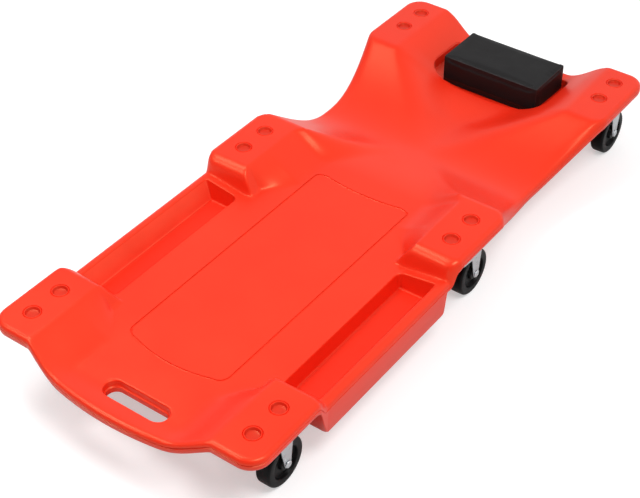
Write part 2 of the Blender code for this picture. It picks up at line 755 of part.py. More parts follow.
def wheel_mesh():
    """Wheel turned about X: a flat ring at the rim, a recessed web and a hub."""
    half = WHEEL_WIDTH / 2
    hub = WHEEL_HUB_WIDTH / 2
    web = WHEEL_WEB / 2
    bore = AXLE_RADIUS + CLEARANCE
    ring = WHEEL_RADIUS - WHEEL_RING
    outer = [
        (bore, hub), (WHEEL_HUB_RADIUS, hub), (WHEEL_HUB_RADIUS, web), (ring, web), (ring, half),
        (WHEEL_RADIUS - WHEEL_SHOULDER, half), (WHEEL_RADIUS, half - WHEEL_SHOULDER),
    ]
    profile = outer + [(radius, -height) for radius, height in reversed(outer)]
    mesh = turned_mesh("wheel", profile, ROUND_STEPS)
    mesh.transform(Matrix.Rotation(math.pi / 2, 4, "Y"))
    return mesh


def axle_mesh():
    """Riveted axle along X, with a head outside each leg of the fork."""
    seat = LEG_OUTER + CLEARANCE
    outer = [
        (0.0, seat + AXLE_HEAD), (AXLE_HEAD_RADIUS * 0.7, seat + AXLE_HEAD),
        (AXLE_HEAD_RADIUS, seat), (AXLE_RADIUS, seat),
    ]
    profile = outer + [(radius, -height) for radius, height in reversed(outer)]
    mesh = turned_mesh("axle", profile, SMALL_STEPS)
    mesh.transform(Matrix.Rotation(math.pi / 2, 4, "Y"))
    return mesh


def make_casters():
    plate = plate_mesh()
    kingpin = kingpin_mesh()
    race = race_mesh()
    fork = fork_mesh()
    wheel = wheel_mesh()
    axle = axle_mesh()
    screw = screw_mesh("caster_screw", PLATE_THICKNESS + CLEARANCE + SCREW_BITE)
    for name, (x, y) in caster_places().items():
        swivel = add_empty(name + "_swivel_axis", (x, y, 0.0))
        spin = add_empty(name + "_wheel_axis", (0.0, TRAIL, WHEEL_RADIUS), swivel)
        add_part(name + "_plate", plate, ZINC, swivel)
        add_part(name + "_kingpin", kingpin, ZINC, swivel)
        add_part(name + "_swivel_race", race, ZINC, swivel)
        add_part(name + "_fork", fork, ZINC, swivel)
        add_part(name + "_wheel", wheel, BLACK_PLASTIC, spin)
        add_part(name + "_axle", axle, ZINC, spin)
    for name, (x, y) in screw_places().items():
        add_part(name, screw, ZINC).location = (x, y, PLATE_BOTTOM - CLEARANCE)


make_deck()
make_headrest()
make_casters()
bpy.context.view_layer.update()
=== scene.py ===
"""Looks of the mechanic creeper: moulded deck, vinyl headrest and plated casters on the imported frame.

Metres, +Z up, the floor at z = 0, +Y towards the head end.
"""

import json
import math

import bmesh
import bpy
import numpy as np
from mathutils import Matrix, Vector


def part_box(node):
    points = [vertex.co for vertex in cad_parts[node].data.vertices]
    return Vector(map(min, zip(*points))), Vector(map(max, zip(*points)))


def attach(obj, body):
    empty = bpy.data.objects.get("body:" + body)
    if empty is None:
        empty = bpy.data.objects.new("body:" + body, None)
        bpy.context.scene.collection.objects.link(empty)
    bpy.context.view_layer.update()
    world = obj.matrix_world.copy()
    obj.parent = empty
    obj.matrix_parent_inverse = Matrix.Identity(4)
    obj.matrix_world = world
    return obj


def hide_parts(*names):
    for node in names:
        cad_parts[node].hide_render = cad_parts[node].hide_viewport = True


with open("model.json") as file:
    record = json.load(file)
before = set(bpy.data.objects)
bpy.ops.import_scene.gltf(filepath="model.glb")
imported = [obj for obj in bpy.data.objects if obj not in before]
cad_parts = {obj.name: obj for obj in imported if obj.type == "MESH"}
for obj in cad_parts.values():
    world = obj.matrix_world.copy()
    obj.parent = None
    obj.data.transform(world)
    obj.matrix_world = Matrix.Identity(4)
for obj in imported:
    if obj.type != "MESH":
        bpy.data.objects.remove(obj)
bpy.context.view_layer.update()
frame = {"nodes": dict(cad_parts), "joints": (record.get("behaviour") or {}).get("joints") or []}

# Places that the frame gives
DECK_LOW, DECK_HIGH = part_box("deck")
HALF = DECK_HIGH.x
FOOT_END = DECK_LOW.y
HEAD_END = DECK_HIGH.y
PAD_HEIGHT = DECK_HIGH.z
TRAY_BOTTOM = DECK_LOW.z
PAD_LOW, PAD_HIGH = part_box("headrest_pad")
CASTERS = {
    joint["name"].removesuffix("_swivel_turn"): joint["pos_m"]
    for joint in frame["joints"] if joint["name"].endswith("_swivel_turn")
}
MOUNT_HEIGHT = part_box("foot_left_plate")[1].z
BOARD_LOW, BOARD_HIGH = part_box("headrest_board")

# Clearances
GAP = 0.0003
MERGE = 1e-6               # points closer than this are one

# Deck outline
CORNER_RADIUS = 0.028
FOOT_BOW = 0.025           # the foot end bows out this far past the foot pads
FOOT_BOW_REACH = 0.146
HEAD_INSET = 0.005         # the head end is drawn in this far between its pads
WAIST_HALF = 0.1805
WAIST_Y = 0.204
LIP = 0.019                # height of the rolled edge
EDGE_RADIUS = 0.0065       # rounding of the rolled edge
TRAY_EDGE_RADIUS = 0.0085  # rounding of the rims outside the trays
PARTING_DROP = 0.0068      # mould parting line below the top of the edge
PARTING_DEPTH = 0.0016
PARTING_HALF = 0.0010      # half of its width

# Caster pads
PAD_INNER = 0.143
FOOT_PAD_HEAD = FOOT_END + FOOT_BOW + 0.127
MID_PAD_FOOT = -0.0375
MID_PAD_HEAD = 0.084
HEAD_PAD_FOOT = HEAD_END - 0.149
HEAD_PAD_INNER = 0.149     # inner edge of the head pads at the head end
MID_LIFT = 0.004           # the mid pads stand higher than the others
MID_CORNER = 0.016         # rounding on the plan where a pad turns into the waist
DIMPLE_RADIUS = 0.0098
DIMPLE_DEPTH = 0.0040
DIMPLE_RING = 0.0119       # radius of the fine ring round a dimple
DIMPLE_FORM = (            # (radius, height) steps over the ring and down into the dish
    (DIMPLE_RING + 0.0008, LIP / 2),
    (DIMPLE_RING + 0.0008, GAP / 3),
    (DIMPLE_RING, -0.0016),
    (DIMPLE_RING - 0.0009, -0.0001),
    (DIMPLE_RADIUS + 0.0004, -0.0001),
    (DIMPLE_RADIUS, -0.0005),
    (DIMPLE_RADIUS - 0.0008, -DIMPLE_DEPTH * 0.75),
    (DIMPLE_RADIUS - 0.0014, -DIMPLE_DEPTH * 0.93),
    (DIMPLE_RADIUS - 0.0026, -DIMPLE_DEPTH),
)
DIMPLE_SPACING = 0.050
MID_DIMPLES = 0.0192       # middle of the dimples on the mid pads

# Heights of the bed below the pad tops
PANEL_DROP = 0.0295
FOOT_LIP_DROP = 0.021
FOOT_LIP_RUN = 0.045
BED_HALF = 0.080           # half width of the flat of the bed
STEP_SLOPE = 0.021         # width of the slope beside the steps to the trays
STEP_FADE = 0.045          # length over which that slope grows to the full one
WAIST_DROP = 0.0495        # at the sides
WAIST_CROWN = 0.003        # the waist climbs this far from its sides to the middle
SADDLE_DROP = 0.0475       # where the ridges between bed, bowl and waist cross
SADDLE_Y = 0.2106
RIDGE_RUN = 0.140          # length along Y of the ridges from the crossing to the pads
BOWL_DROP = 0.051          # lowest place of the bowl
BOWL_SET = 0.080           # lowest place of the bowl past the crossing
BOWL_HALF = 0.060          # half width of the bowl's floor at the front of the headrest
BOWL_SPREAD = 0.008        # the bowl's rounded rim ends this far outside the pads' inner edge
SADDLE_HALF = 0.020
HEAD_HALF = 0.083          # half width of the bowl's floor at the head end
SEAT_DROP = 0.0405         # under the front of the headrest
HEAD_END_DROP = 0.036
HEAD_ROUNDING = 0.4        # share of rounding along the inner edges of the head pads
CRISP = 0.0022             # rounding of the creases round trays and pads
SOFT = 0.0050              # rounding of the creases at the ends
FLOWING = 0.0130           # rounding of the ridges round the bowl
SOFTENING = (              # rings of places that a height is averaged over: radius share and places
    (0.33, 6), (0.67, 12), (1.0, 18),
)

# Tool trays
TRAY_INSET = 0.0045        # the sides are drawn in this far along the trays
TRAY_OUTER = 0.195
TRAY_INNER = 0.1375
TRAY_RIM_DROP = 0.021
TRAY_DEPTH = 0.028
TRAY_DRAFT = 0.006
TRAY_LEAN = 0.0085         # the outer walls lean this much further than the others
TRAY_FILLET = 0.0035
TRAY_LIP = 0.0022          # rounding of the opening's edge
TRAY_BED_CORNER = 0.010
TRAY_SIDE_CORNER = 0.004
TRAY_WALL = 0.009
TRAY_FAR_WALL = 0.0095
TRAY_BOX_DRAFT = 0.008
TRAY_BOX_DROP = 0.004      # the boxes reach this far below the solid
TRAY_BOX_NEAR = 0.021      # lean of their near ends
TRAY_BOX_END = 0.9         # share of that lean before the tray begins
TRAY_BOX_FORM = ((0.0, 0.0), (0.75, 0.84), (0.9, 0.96), (1.0, 1.0))
TRAY_OUTER_WALL = 0.75     # the outer walls face the middle at least this much
FOOT_STEP_RUN = 0.020
STEP_TURN = 0.55           # share of the pads' rounding at their steps
STEP_CORNER = 0.30         # share of rounding where a step meets the slope beside it
MID_STEP_RUN = 0.0205
STEP_FORM = (              # a step's rise along its run: a steep face under a broad rounding
    (0.0, 0.0), (0.17, 0.57), (0.24, 0.68), (0.33, 0.77), (0.44, 0.85),
    (0.56, 0.915), (0.70, 0.96), (0.85, 0.99), (1.0, 1.0),
)
FOOT_STEP_FORM = (
    (0.0, 0.0), (0.45, 0.60), (0.65, 0.82), (0.80, 0.93), (0.90, 0.98), (1.0, 1.0),
)
TRAY_LEDGE = 0.013
TRAY_NEAR = FOOT_PAD_HEAD + FOOT_STEP_RUN
STEP_FOOT = MID_PAD_FOOT - MID_STEP_RUN
TRAY_FAR = STEP_FOOT - TRAY_LEDGE
TRAY_MIDDLE = (TRAY_NEAR + TRAY_FAR) / 2
TRAY_TOP = PAD_HEIGHT - TRAY_RIM_DROP - TRAY_DEPTH

# Hand hole
SLOT_X = 0.0120
SLOT_Y = FOOT_END + 0.047
SLOT_HALF_LENGTH = 0.0492
SLOT_HALF_WIDTH = 0.0145
SLOT_LIP = 0.0026
SLOT_LEDGE = 0.0025
SLOT_LEDGE_FORM = (        # (inward, height) steps over the ledge half-way down
    (0.0005, 0.0014), (0.0009, 0.0008), (SLOT_LEDGE - 0.0006, 0.0003), (SLOT_LEDGE, -0.0004),
)

# Pocket that the headrest sits in
POCKET_SKIN = 0.004        # what the pocket leaves of the deck
POCKET_BOW = 0.012         # its front edge bows out this far
POCKET_ENDS = 0.0170       # room at the ends of the headrest
POCKET_FRONT = 0.0055
POCKET_CORNER = 0.022
POCKET_LIP = 0.0016
POCKET_FILLET = 0.0010

# Groove round the flat panel of the bed
PANEL_HALF = 0.0788
PANEL_FOOT = -0.3732
PANEL_FOOT_BOW = 0.0098
PANEL_HEAD = 0.044
PANEL_HEAD_BOW = 0.006
PANEL_CORNER = 0.0165
PANEL_STEPS = 21
PANEL_CORNER_STEPS = 9
GROOVE_RADIUS = 0.0016
GROOVE_LIFT = -0.0003      # middle of the round groove above the bed

# Mesh fineness of the deck
BED_STEP = 0.006
FINE_STEP = 0.0024
STEP_ROWS = 0.0010
LONG_ROWS = 0.009
SOFT_ROWS = 0.0045
CORNER_STEPS = 14
BOW_STEPS = 26
END_ROWS = 13
SLOT_STEPS = 16
BOSS_STEPS = 12
DIMPLE_STEPS = 40
LEAST_RADIUS = 0.3         # share of a corner's radius that an inset leaves

# Casters
WHEEL_RADIUS = 0.035
WHEEL_WIDTH = 0.021
WHEEL_HUB_WIDTH = 0.0222
WHEEL_HUB_RADIUS = 0.011
WHEEL_RING = 0.0115
WHEEL_WEB = 0.012
WHEEL_CROWN = 0.0035       # rounding of the tread's shoulders
WHEEL_LEAN = 0.001
AXLE_RADIUS = 0.004
AXLE_HEAD_RADIUS = 0.0055
AXLE_HEAD = 0.0018
TRAIL = 0.023
LEG_OUTER = 0.0138
FORK_SHEET = 0.0024
FORK_BEND = 0.0042
FORK_FRONT = 0.012
FORK_REAR = 0.0335
LEG_FRONT = 0.0095         # front edge of a leg at the crown, behind the swivel axis
LEG_END_RADIUS = 0.006
CROWN_BOTTOM = 0.0735
CROWN_TOP = 0.0759
WHEEL_GAP = 0.0035
KINGPIN_RADIUS = 0.004
KINGPIN_HEAD_RADIUS = 0.007
KINGPIN_HEAD = 0.003
RACE_RADIUS = 0.015
RACE_WALL = 0.008
RACE_GROOVE = 0.0004       # half width of the groove between its cups
RACE_ROUND = 0.0012
PLATE_LENGTH = 0.074
PLATE_WIDTH = 0.036
PLATE_THICKNESS = 0.0025
SCREW_RADIUS = 0.0026
SCREW_HEAD_RADIUS = 0.0052
SCREW_HEAD = 0.004
SCREW_FLANGE = 0.0012
SCREW_HEXAGON = 0.86       # share of the head's radius
MOULD_EDGE = 0.0007        # rounding of the wheel's edges
SHEET_EDGE = 0.0005        # rounding of edges of sheet
RIVET_EDGE = 0.0003        # rounding of edges of rivets and screws
BOSS_LENGTH = 0.088
BOSS_WIDTH = 0.037
BOSS_EDGE = 0.002

# Headrest
SWELL = 0.0010             # the filling presses the cover out this far
SWELL_FRAMES = 20
HEADREST_TOP_DROP = 0.0022
HEADREST_REACH = 0.0037    # the cover reaches further to the right than to the left
HEADREST_INSET = 0.0045    # the cover ends this far inside its box at the left
HEADREST_CUTS = 39
HEADREST_EDGE = 0.0014
HEADREST_GAP = 0.0008
BOARD_ROOM = 0.0066        # room under the cover for its board

# View of the photograph
CAMERA_PLACE = (0.921, -1.328, 1.370)
CAMERA_AZIMUTH = 36.02
CAMERA_ELEVATION = 39.94
CAMERA_LENS = 82.4
CAMERA_SENSOR = 36.0

# Studio
FLOOR_SIZE = 12.0
FLOOR_GLOW = 0.44          # lifts the lit paper to white for the camera
FLOOR_MIRRORED = 0.03
BRIGHT_SIDE = (0.5, 0.8, 0.0)
DIM, BRIGHT = 0.30, 0.98   # strength of the backdrop opposite the bright side and on it
LAMP_AIM = (0.0, 0.0, 0.1)
LAMPS = (                  # name, place, size and watts
    ("left", (-0.95, -0.20, 2.00), (1.1, 0.9), 15.5),
    ("front", (-1.05, -1.35, 1.75), (1.2, 0.5), 12.5),
    ("right", (0.95, -0.45, 1.80), (0.9, 0.7), 18.0),
)


def linear(code):
    """An sRGB hex colour as linear RGBA."""
    channels = [int(code[i:i + 2], 16) / 255 for i in (1, 3, 5)]
    return tuple(c / 12.92 if c <= 0.04045 else ((c + 0.055) / 1.055) ** 2.4 for c in channels) + (1.0,)


def add_node(tree, kind, inputs=None, **settings):
    """A node with its settings, and its inputs as values or as the sockets that feed them."""
    node = tree.nodes.new(kind)
    for name, value in settings.items():
        setattr(node, name, value)
    for name, value in (inputs or {}).items():
        if isinstance(value, bpy.types.NodeSocket):
            tree.links.new(value, node.inputs[name])
        else:
            node.inputs[name].default_value = value
    return node


def new_material(name):
    """An empty material: its tree, its Principled shader and its Object coordinates.

    Pattern scales are one over the size of the pattern in metres."""
    material = bpy.data.materials.new(name)
    material.use_nodes = True
    tree = material.node_tree
    shader = tree.nodes["Principled BSDF"]
    place = add_node(tree, "ShaderNodeTexCoord").outputs["Object"]
    return material, tree, shader, place


def vary(tree, shader, pattern, colours, gloss, span=(0.3, 0.7), stops=(0.0, 1.0)):
    """Lets a pattern vary a shader's colour between two stops and its roughness over a span of its values."""
    tint = add_node(tree, "ShaderNodeValToRGB", {"Fac": pattern})
    for element, stop, code in zip(tint.color_ramp.elements, stops, colours):
        element.position = stop
        element.color = linear(code)
    tree.links.new(tint.outputs["Color"], shader.inputs["Base Color"])
    roughness = add_node(tree, "ShaderNodeMapRange", {
        "Value": pattern, "From Min": span[0], "From Max": span[1], "To Min": gloss[0], "To Max": gloss[1],
    })
    tree.links.new(roughness.outputs["Result"], shader.inputs["Roughness"])


def moulded_polyethylene(name, shine, grain_height, dark, light):
    """Blow-moulded polyethylene: saturated satin colour, soft broad highlights and a fine mould grain."""
    material, tree, shader, place = new_material(name)
    shader.inputs["IOR"].default_value = 1.51
    shader.inputs["Specular IOR Level"].default_value = shine
    shader.inputs["Specular Tint"].default_value = (1.0, 0.86, 0.45, 1.0)
    flow = add_node(tree, "ShaderNodeTexNoise", {"Vector": place, "Scale": 1 / 0.090, "Detail": 3.0})
    vary(tree, shader, flow.outputs["Fac"], (dark, light), (0.29, 0.36), stops=(0.3, 0.7))
    grain = add_node(tree, "ShaderNodeTexNoise", {"Vector": place, "Scale": 1 / 0.0012, "Detail": 2.0})
    relief = add_node(tree, "ShaderNodeBump", {
        "Height": grain.outputs["Fac"], "Strength": grain_height, "Distance": 0.0003,
    })
    tree.links.new(relief.outputs["Normal"], shader.inputs["Normal"])
    return material


def grained_vinyl(name, shine, dark, light):
    """Black upholstery vinyl: near black, half matt, with the small cells of an embossed leather grain."""
    material, tree, shader, place = new_material(name)
    shader.inputs["IOR"].default_value = 1.5
    shader.inputs["Specular IOR Level"].default_value = shine
    cells = add_node(
        tree, "ShaderNodeTexVoronoi", {"Vector": place, "Scale": 1 / 0.0016}, feature="DISTANCE_TO_EDGE",
    )
    wear = add_node(tree, "ShaderNodeTexNoise", {"Vector": place, "Scale": 1 / 0.030, "Detail": 3.0})
    vary(tree, shader, wear.outputs["Fac"], (dark, light), (0.46, 0.56))
    relief = add_node(tree, "ShaderNodeBump", {
        "Height": cells.outputs["Distance"], "Strength": 0.25, "Distance": 0.0003,
    })
    tree.links.new(relief.outputs["Normal"], shader.inputs["Normal"])
    return material


def zinc_plate():
    """Bright zinc on pressed steel: pale, slightly blue, with faint clouds in its gloss."""
    material, tree, shader, place = new_material("zinc_plated_steel")
    shader.inputs["Metallic"].default_value = 1.0
    cloud = add_node(tree, "ShaderNodeTexNoise", {"Vector": place, "Scale": 1 / 0.007, "Detail": 4.0})
    vary(tree, shader, cloud.outputs["Fac"], ("#C3C9CD", "#DFE3E6"), (0.26, 0.38))
    return material


def wheel_polypropylene():
    """Injection-moulded black polypropylene: glossy, with faint scuffs that dull it here and there."""
    material, tree, shader, place = new_material("moulded_polypropylene")
    shader.inputs["IOR"].default_value = 1.49
    shader.inputs["Specular IOR Level"].default_value = 0.12
    scuff = add_node(tree, "ShaderNodeTexNoise", {"Vector": place, "Scale": 1 / 0.004, "Detail": 5.0})
    vary(tree, shader, scuff.outputs["Fac"], ("#060607", "#0C0C0D"), (0.28, 0.40), span=(0.35, 0.65))
    return material


def raw_plywood():
    """Raw plywood: pale brown with a fine long grain along X."""
    material, tree, shader, place = new_material("raw_plywood")
    along = add_node(tree, "ShaderNodeMapping", {"Vector": place, "Scale": (0.08, 1.0, 1.0)})
    grain = add_node(tree, "ShaderNodeTexNoise", {
        "Vector": along.outputs["Vector"], "Scale": 1 / 0.002, "Detail": 4.0,
    })
    tint = add_node(tree, "ShaderNodeValToRGB", {"Fac": grain.outputs["Fac"]})
    tint.color_ramp.elements[0].color = linear("#9C7344")
    tint.color_ramp.elements[1].color = linear("#C49A66")
    tree.links.new(tint.outputs["Color"], shader.inputs["Base Color"])
    shader.inputs["Roughness"].default_value = 0.7
    return material


# The deck is satin. It is deeper in colour in its dimples, a painted shade in the recesses; matt, grained and
# darker in the trays, the darkness a painted shade; and paler and rougher on the trays' outer walls, the
# paleness painted light and sheen.
POLYETHYLENE = moulded_polyethylene("moulded_polyethylene", 0.46, 0.10, "#E22511", "#E72913")
DIMPLE_SHADE = moulded_polyethylene("tacked_polyethylene", 0.46, 0.10, "#C81B0C", "#CD1E0D")
TRAY_GRAIN_AND_SHADE = moulded_polyethylene("grained_polyethylene", 0.28, 0.40, "#DA200E", "#DF230F")
WALL_GRAIN_AND_SHEEN = moulded_polyethylene("scuffed_polyethylene", 0.48, 0.60, "#E83822", "#F0432C")
# The cover shines more along its edges, and their paler colour is a painted highlight.
VINYL = grained_vinyl("grained_vinyl", 0.24, "#0D0B0C", "#121011")
EDGE_SHINE_AND_HIGHLIGHT = grained_vinyl("rubbed_vinyl", 0.40, "#141213", "#1A1819")
ZINC = zinc_plate()
POLYPROPYLENE = wheel_polypropylene()
PLYWOOD = raw_plywood()


def deselect():
    bpy.ops.object.select_all(action="DESELECT")


def use(obj):
    """Makes an object the only selected and active one."""
    deselect()
    obj.select_set(True)
    bpy.context.view_layer.objects.active = obj


def apply_modifiers(obj):
    use(obj)
    for modifier in list(obj.modifiers):
        bpy.ops.object.modifier_apply(modifier=modifier.name)


def shade(obj, degrees):
    use(obj)
    bpy.ops.object.shade_smooth_by_angle(angle=math.radians(degrees))


def add_object(name, mesh):
    obj = bpy.data.objects.new(name, mesh)
    bpy.context.scene.collection.objects.link(obj)
    return obj


def dress(piece, body, slot, material, *nodes):
    """A finished piece gets its material, rides on its body and stands for its nodes."""
    piece.data.materials.clear()
    piece.data.materials.append(material)
    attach(piece, body)
    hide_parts(*nodes)


def ramp(value, start, end):
    return np.clip((value - start) / (end - start), 0.0, 1.0)


def ease(value, start, end):
    share = ramp(value, start, end)
    return share * share * (3 - 2 * share)


def straight(points, value):
    places, heights = zip(*points)
    return np.interp(value, places, heights)


def curve(points, value):
    """A smooth curve through (place, height) points that doesn't overshoot them."""
    places, heights = (np.array(column, float) for column in zip(*points))
    runs = np.diff(places)
    rises = np.diff(heights) / runs
    products = rises[:-1] * rises[1:]
    sums = np.where(products > 0, rises[:-1] + rises[1:], 1.0)
    slopes = np.concatenate(([0.0], np.where(products > 0, 2 * products / sums, 0.0), [0.0]))
    i = np.clip(np.searchsorted(places, value) - 1, 0, len(runs) - 1)
    s = np.clip((value - places[i]) / runs[i], 0.0, 1.0)
    return (
        heights[i] * (1 + 2 * s) * (1 - s) ** 2 + heights[i + 1] * s * s * (3 - 2 * s)
        + runs[i] * (slopes[i] * s * (1 - s) ** 2 - slopes[i + 1] * s * s * (1 - s))
    )


def waist_share(y, start, end):
    """0 at both ends of the waist and 1 at its middle, like a half wave."""
    before = np.sin(math.pi / 2 * ramp(y, start, WAIST_Y))
    after = np.cos(math.pi / 2 * ramp(y, WAIST_Y, end))
    return np.where(y <= WAIST_Y, before, after)


def beside_tray(y):
    """1 along a tray, falling to 0 on the straight slopes up to the pads."""
    return straight([(FOOT_PAD_HEAD, 0.0), (TRAY_NEAR, 1.0), (STEP_FOOT, 1.0), (MID_PAD_FOOT, 0.0)], y)


def step_rise(y):
    """0 along a tray and 1 on the pads: a step with a crisp foot and a rounded top."""
    mid = straight(STEP_FORM, (y - STEP_FOOT) / MID_STEP_RUN)
    foot = straight(FOOT_STEP_FORM, (TRAY_NEAR - y) / FOOT_STEP_RUN)
    return np.maximum(mid, foot)


def half_width(y):
    pinch = waist_share(y, MID_PAD_HEAD - CORNER_RADIUS / 2, HEAD_PAD_FOOT + CORNER_RADIUS / 2)
    return HALF - (HALF - WAIST_HALF) * pinch - TRAY_INSET * beside_tray(y)


def corner_rise(across, inset):
    """How far the rounded corner of a pad stands back from the pad's end."""
    radius = CORNER_RADIUS - inset
    over = np.minimum(np.maximum(across - (HALF - CORNER_RADIUS), 0.0), radius)
    return radius - np.sqrt(radius * radius - over * over)


def foot_edge(across, inset):
    bow = FOOT_END + FOOT_BOW * (across / FOOT_BOW_REACH) ** 2
    return np.minimum(bow, FOOT_END + FOOT_BOW) + inset + corner_rise(across, inset)


def head_edge(across, inset):
    drawn_in = HEAD_INSET * (1 - ease(across, PAD_HIGH.x, PAD_INNER))
    return HEAD_END - drawn_in - inset - corner_rise(across, inset)


def middle_height(y):
    """Height of the bed along the centre line."""
    return PAD_HEIGHT - curve([
        (FOOT_END, FOOT_LIP_DROP),
        (FOOT_END + FOOT_LIP_RUN, PANEL_DROP),
        (SADDLE_Y - RIDGE_RUN, PANEL_DROP),
        (SADDLE_Y, SADDLE_DROP),
        (SADDLE_Y + BOWL_SET, BOWL_DROP),
        (PAD_LOW.y, SEAT_DROP),
        (HEAD_END, HEAD_END_DROP),
    ], y)


def side_share(across, y):
    """0 on the flat of the bed or the bowl's floor and 1 on the sides, with the slopes between."""
    slope_end = straight([
        (SADDLE_Y - RIDGE_RUN, PAD_INNER),
        (SADDLE_Y, SADDLE_HALF),
        (SADDLE_Y + RIDGE_RUN, PAD_INNER + BOWL_SPREAD),
        (HEAD_END, HEAD_PAD_INNER),
    ], y)
    slope_start = straight([
        (FOOT_PAD_HEAD - STEP_FADE, BED_HALF),
        (FOOT_PAD_HEAD, PAD_INNER - STEP_SLOPE),
        (MID_PAD_FOOT, PAD_INNER - STEP_SLOPE),
        (MID_PAD_FOOT + STEP_FADE, BED_HALF),
        (SADDLE_Y - RIDGE_RUN, BED_HALF),
        (SADDLE_Y, 0.0),
        (SADDLE_Y + BOWL_SET, 0.0),
        (PAD_LOW.y, BOWL_HALF),
        (HEAD_END, HEAD_HALF),
    ], y)
    share = ramp(across, slope_start, np.maximum(slope_end, slope_start + GAP))
    hard = ease(y, FOOT_PAD_HEAD - STEP_FADE, FOOT_PAD_HEAD) - ease(y, MID_PAD_FOOT, MID_PAD_FOOT + STEP_FADE)
    rounded_top = straight([
        (MID_PAD_HEAD, 0.0), (SADDLE_Y, 1.0), (SADDLE_Y + BOWL_SET, 1.0), (HEAD_PAD_FOOT, HEAD_ROUNDING),
    ], y)
    soft = share * share * (2 - share + rounded_top * (1 - share))
    return soft + (share - soft) * hard


def crisp_height(x, y):
    """Top of the deck without its trays, with hard creases."""
    across = np.abs(x)
    rim = ramp(across, TRAY_INNER, TRAY_OUTER) * ease(y, FOOT_END, FOOT_PAD_HEAD) * (y < MID_PAD_HEAD)
    bed = middle_height(y) + (PANEL_DROP - TRAY_RIM_DROP) * rim
    over = np.clip(across - half_width(y) + MID_CORNER, 0.0, MID_CORNER)
    turn = MID_CORNER - np.sqrt(MID_CORNER * MID_CORNER - over * over)
    waist = waist_share(y + np.where(y < WAIST_Y, turn, -turn), MID_PAD_HEAD, HEAD_PAD_FOOT)
    lift = MID_LIFT * ((y > TRAY_MIDDLE) & (y < WAIST_Y))
    side = PAD_HEIGHT + lift - (WAIST_DROP + lift) * waist
    side = side + WAIST_CROWN * waist * (1 - (x / half_width(y)) ** 2)
    beside = side_share(across, y)
    step = step_rise(y + STEP_TURN * np.where(y > TRAY_MIDDLE, -turn, turn))
    rise = np.minimum(beside, step)
    corner = np.maximum(STEP_CORNER - np.abs(beside - step), 0.0) ** 2 / STEP_CORNER
    return bed + (side - bed) * (rise - corner * rise * (1 - rise))


def top_height(x, y):
    """Top of the deck without its trays, with the soft creases of the mould."""
    softness = straight([
        (FOOT_PAD_HEAD - STEP_FADE, SOFT), (FOOT_PAD_HEAD, CRISP),
        (MID_PAD_HEAD, CRISP), (SADDLE_Y, FLOWING),
        (SADDLE_Y + BOWL_SET, FLOWING), (HEAD_PAD_FOOT, SOFT),
    ], y)
    total = np.array(crisp_height(x, y))
    count = 1
    for reach, turns in SOFTENING:
        for i in range(turns):
            angle = math.tau * i / turns
            dx = softness * reach * math.cos(angle)
            dy = softness * reach * math.sin(angle)
            total += crisp_height(x + dx, y + dy)
        count += turns
    return total / count


def under_height(x, y):
    """Underside of the deck, with the boxes that hold the trays."""
    shell = top_height(x, y) - LIP
    inside = np.minimum(np.abs(x) - TRAY_INNER + TRAY_WALL, TRAY_FAR + TRAY_FAR_WALL - y)
    near = straight(TRAY_BOX_FORM, (y - TRAY_NEAR) / TRAY_BOX_NEAR + TRAY_BOX_END)
    depth = np.minimum(ease(inside, 0.0, TRAY_BOX_DRAFT), near)
    return shell + (TRAY_BOTTOM - TRAY_BOX_DROP - shell) * depth


def edge_radius(y):
    along = ramp(y, FOOT_PAD_HEAD, TRAY_NEAR) - ramp(y, MID_PAD_HEAD, WAIST_Y)
    return EDGE_RADIUS + (TRAY_EDGE_RADIUS - EDGE_RADIUS) * along


def deck_columns():
    """Columns as shares of the half width, dense on the slopes and evenly turned round the corners."""
    side = HALF - EDGE_RADIUS
    start = HALF - CORNER_RADIUS
    flat = np.arange(0.0, PANEL_HALF, BED_STEP)
    slope = np.arange(PANEL_HALF, start, FINE_STEP)
    turn = start + (side - start) * np.sin(np.linspace(0.0, math.pi / 2, CORNER_STEPS))
    half = np.concatenate((flat, slope, turn)) / side
    return np.concatenate((-half[:0:-1], half))


def deck_rows():
    """Rows as places and reaches: a reach runs to -1 at the foot edge and to 1 at the head edge."""
    foot = FOOT_END + FOOT_BOW + CORNER_RADIUS + EDGE_RADIUS
    head = HEAD_END - CORNER_RADIUS - EDGE_RADIUS
    margin = 2 * CRISP
    runs = [
        (foot, FOOT_PAD_HEAD - margin, SOFT_ROWS),
        (FOOT_PAD_HEAD - margin, TRAY_NEAR + margin, STEP_ROWS),
        (TRAY_NEAR + margin, TRAY_FAR - margin, LONG_ROWS),
        (TRAY_FAR - margin, MID_PAD_FOOT + margin, STEP_ROWS),
        (MID_PAD_FOOT + margin, MID_PAD_FOOT + STEP_FADE, FINE_STEP),
        (MID_PAD_FOOT + STEP_FADE, head, SOFT_ROWS),
    ]
    places = []
    for start, end, step in runs:
        places += list(np.linspace(start, end, math.ceil((end - start) / step), endpoint=False))
    places.append(head)
    reaches = np.linspace(1.0, 0.0, END_ROWS, endpoint=False)
    y = np.array([foot] * END_ROWS + places + [head] * END_ROWS)
    reach = np.concatenate((-reaches, np.zeros(len(places)), reaches[::-1]))
    return y, reach


def deck_place(share, y, reach, inset):
    """Place on the plan of points at a share of the half width, on a row, inset from the outline."""
    x = share * (half_width(y) - inset)
    foot = foot_edge(np.abs(x), inset)
    head = head_edge(np.abs(x), inset)
    return x, y + np.where(reach < 0, (foot - y) * -reach, (head - y) * reach)


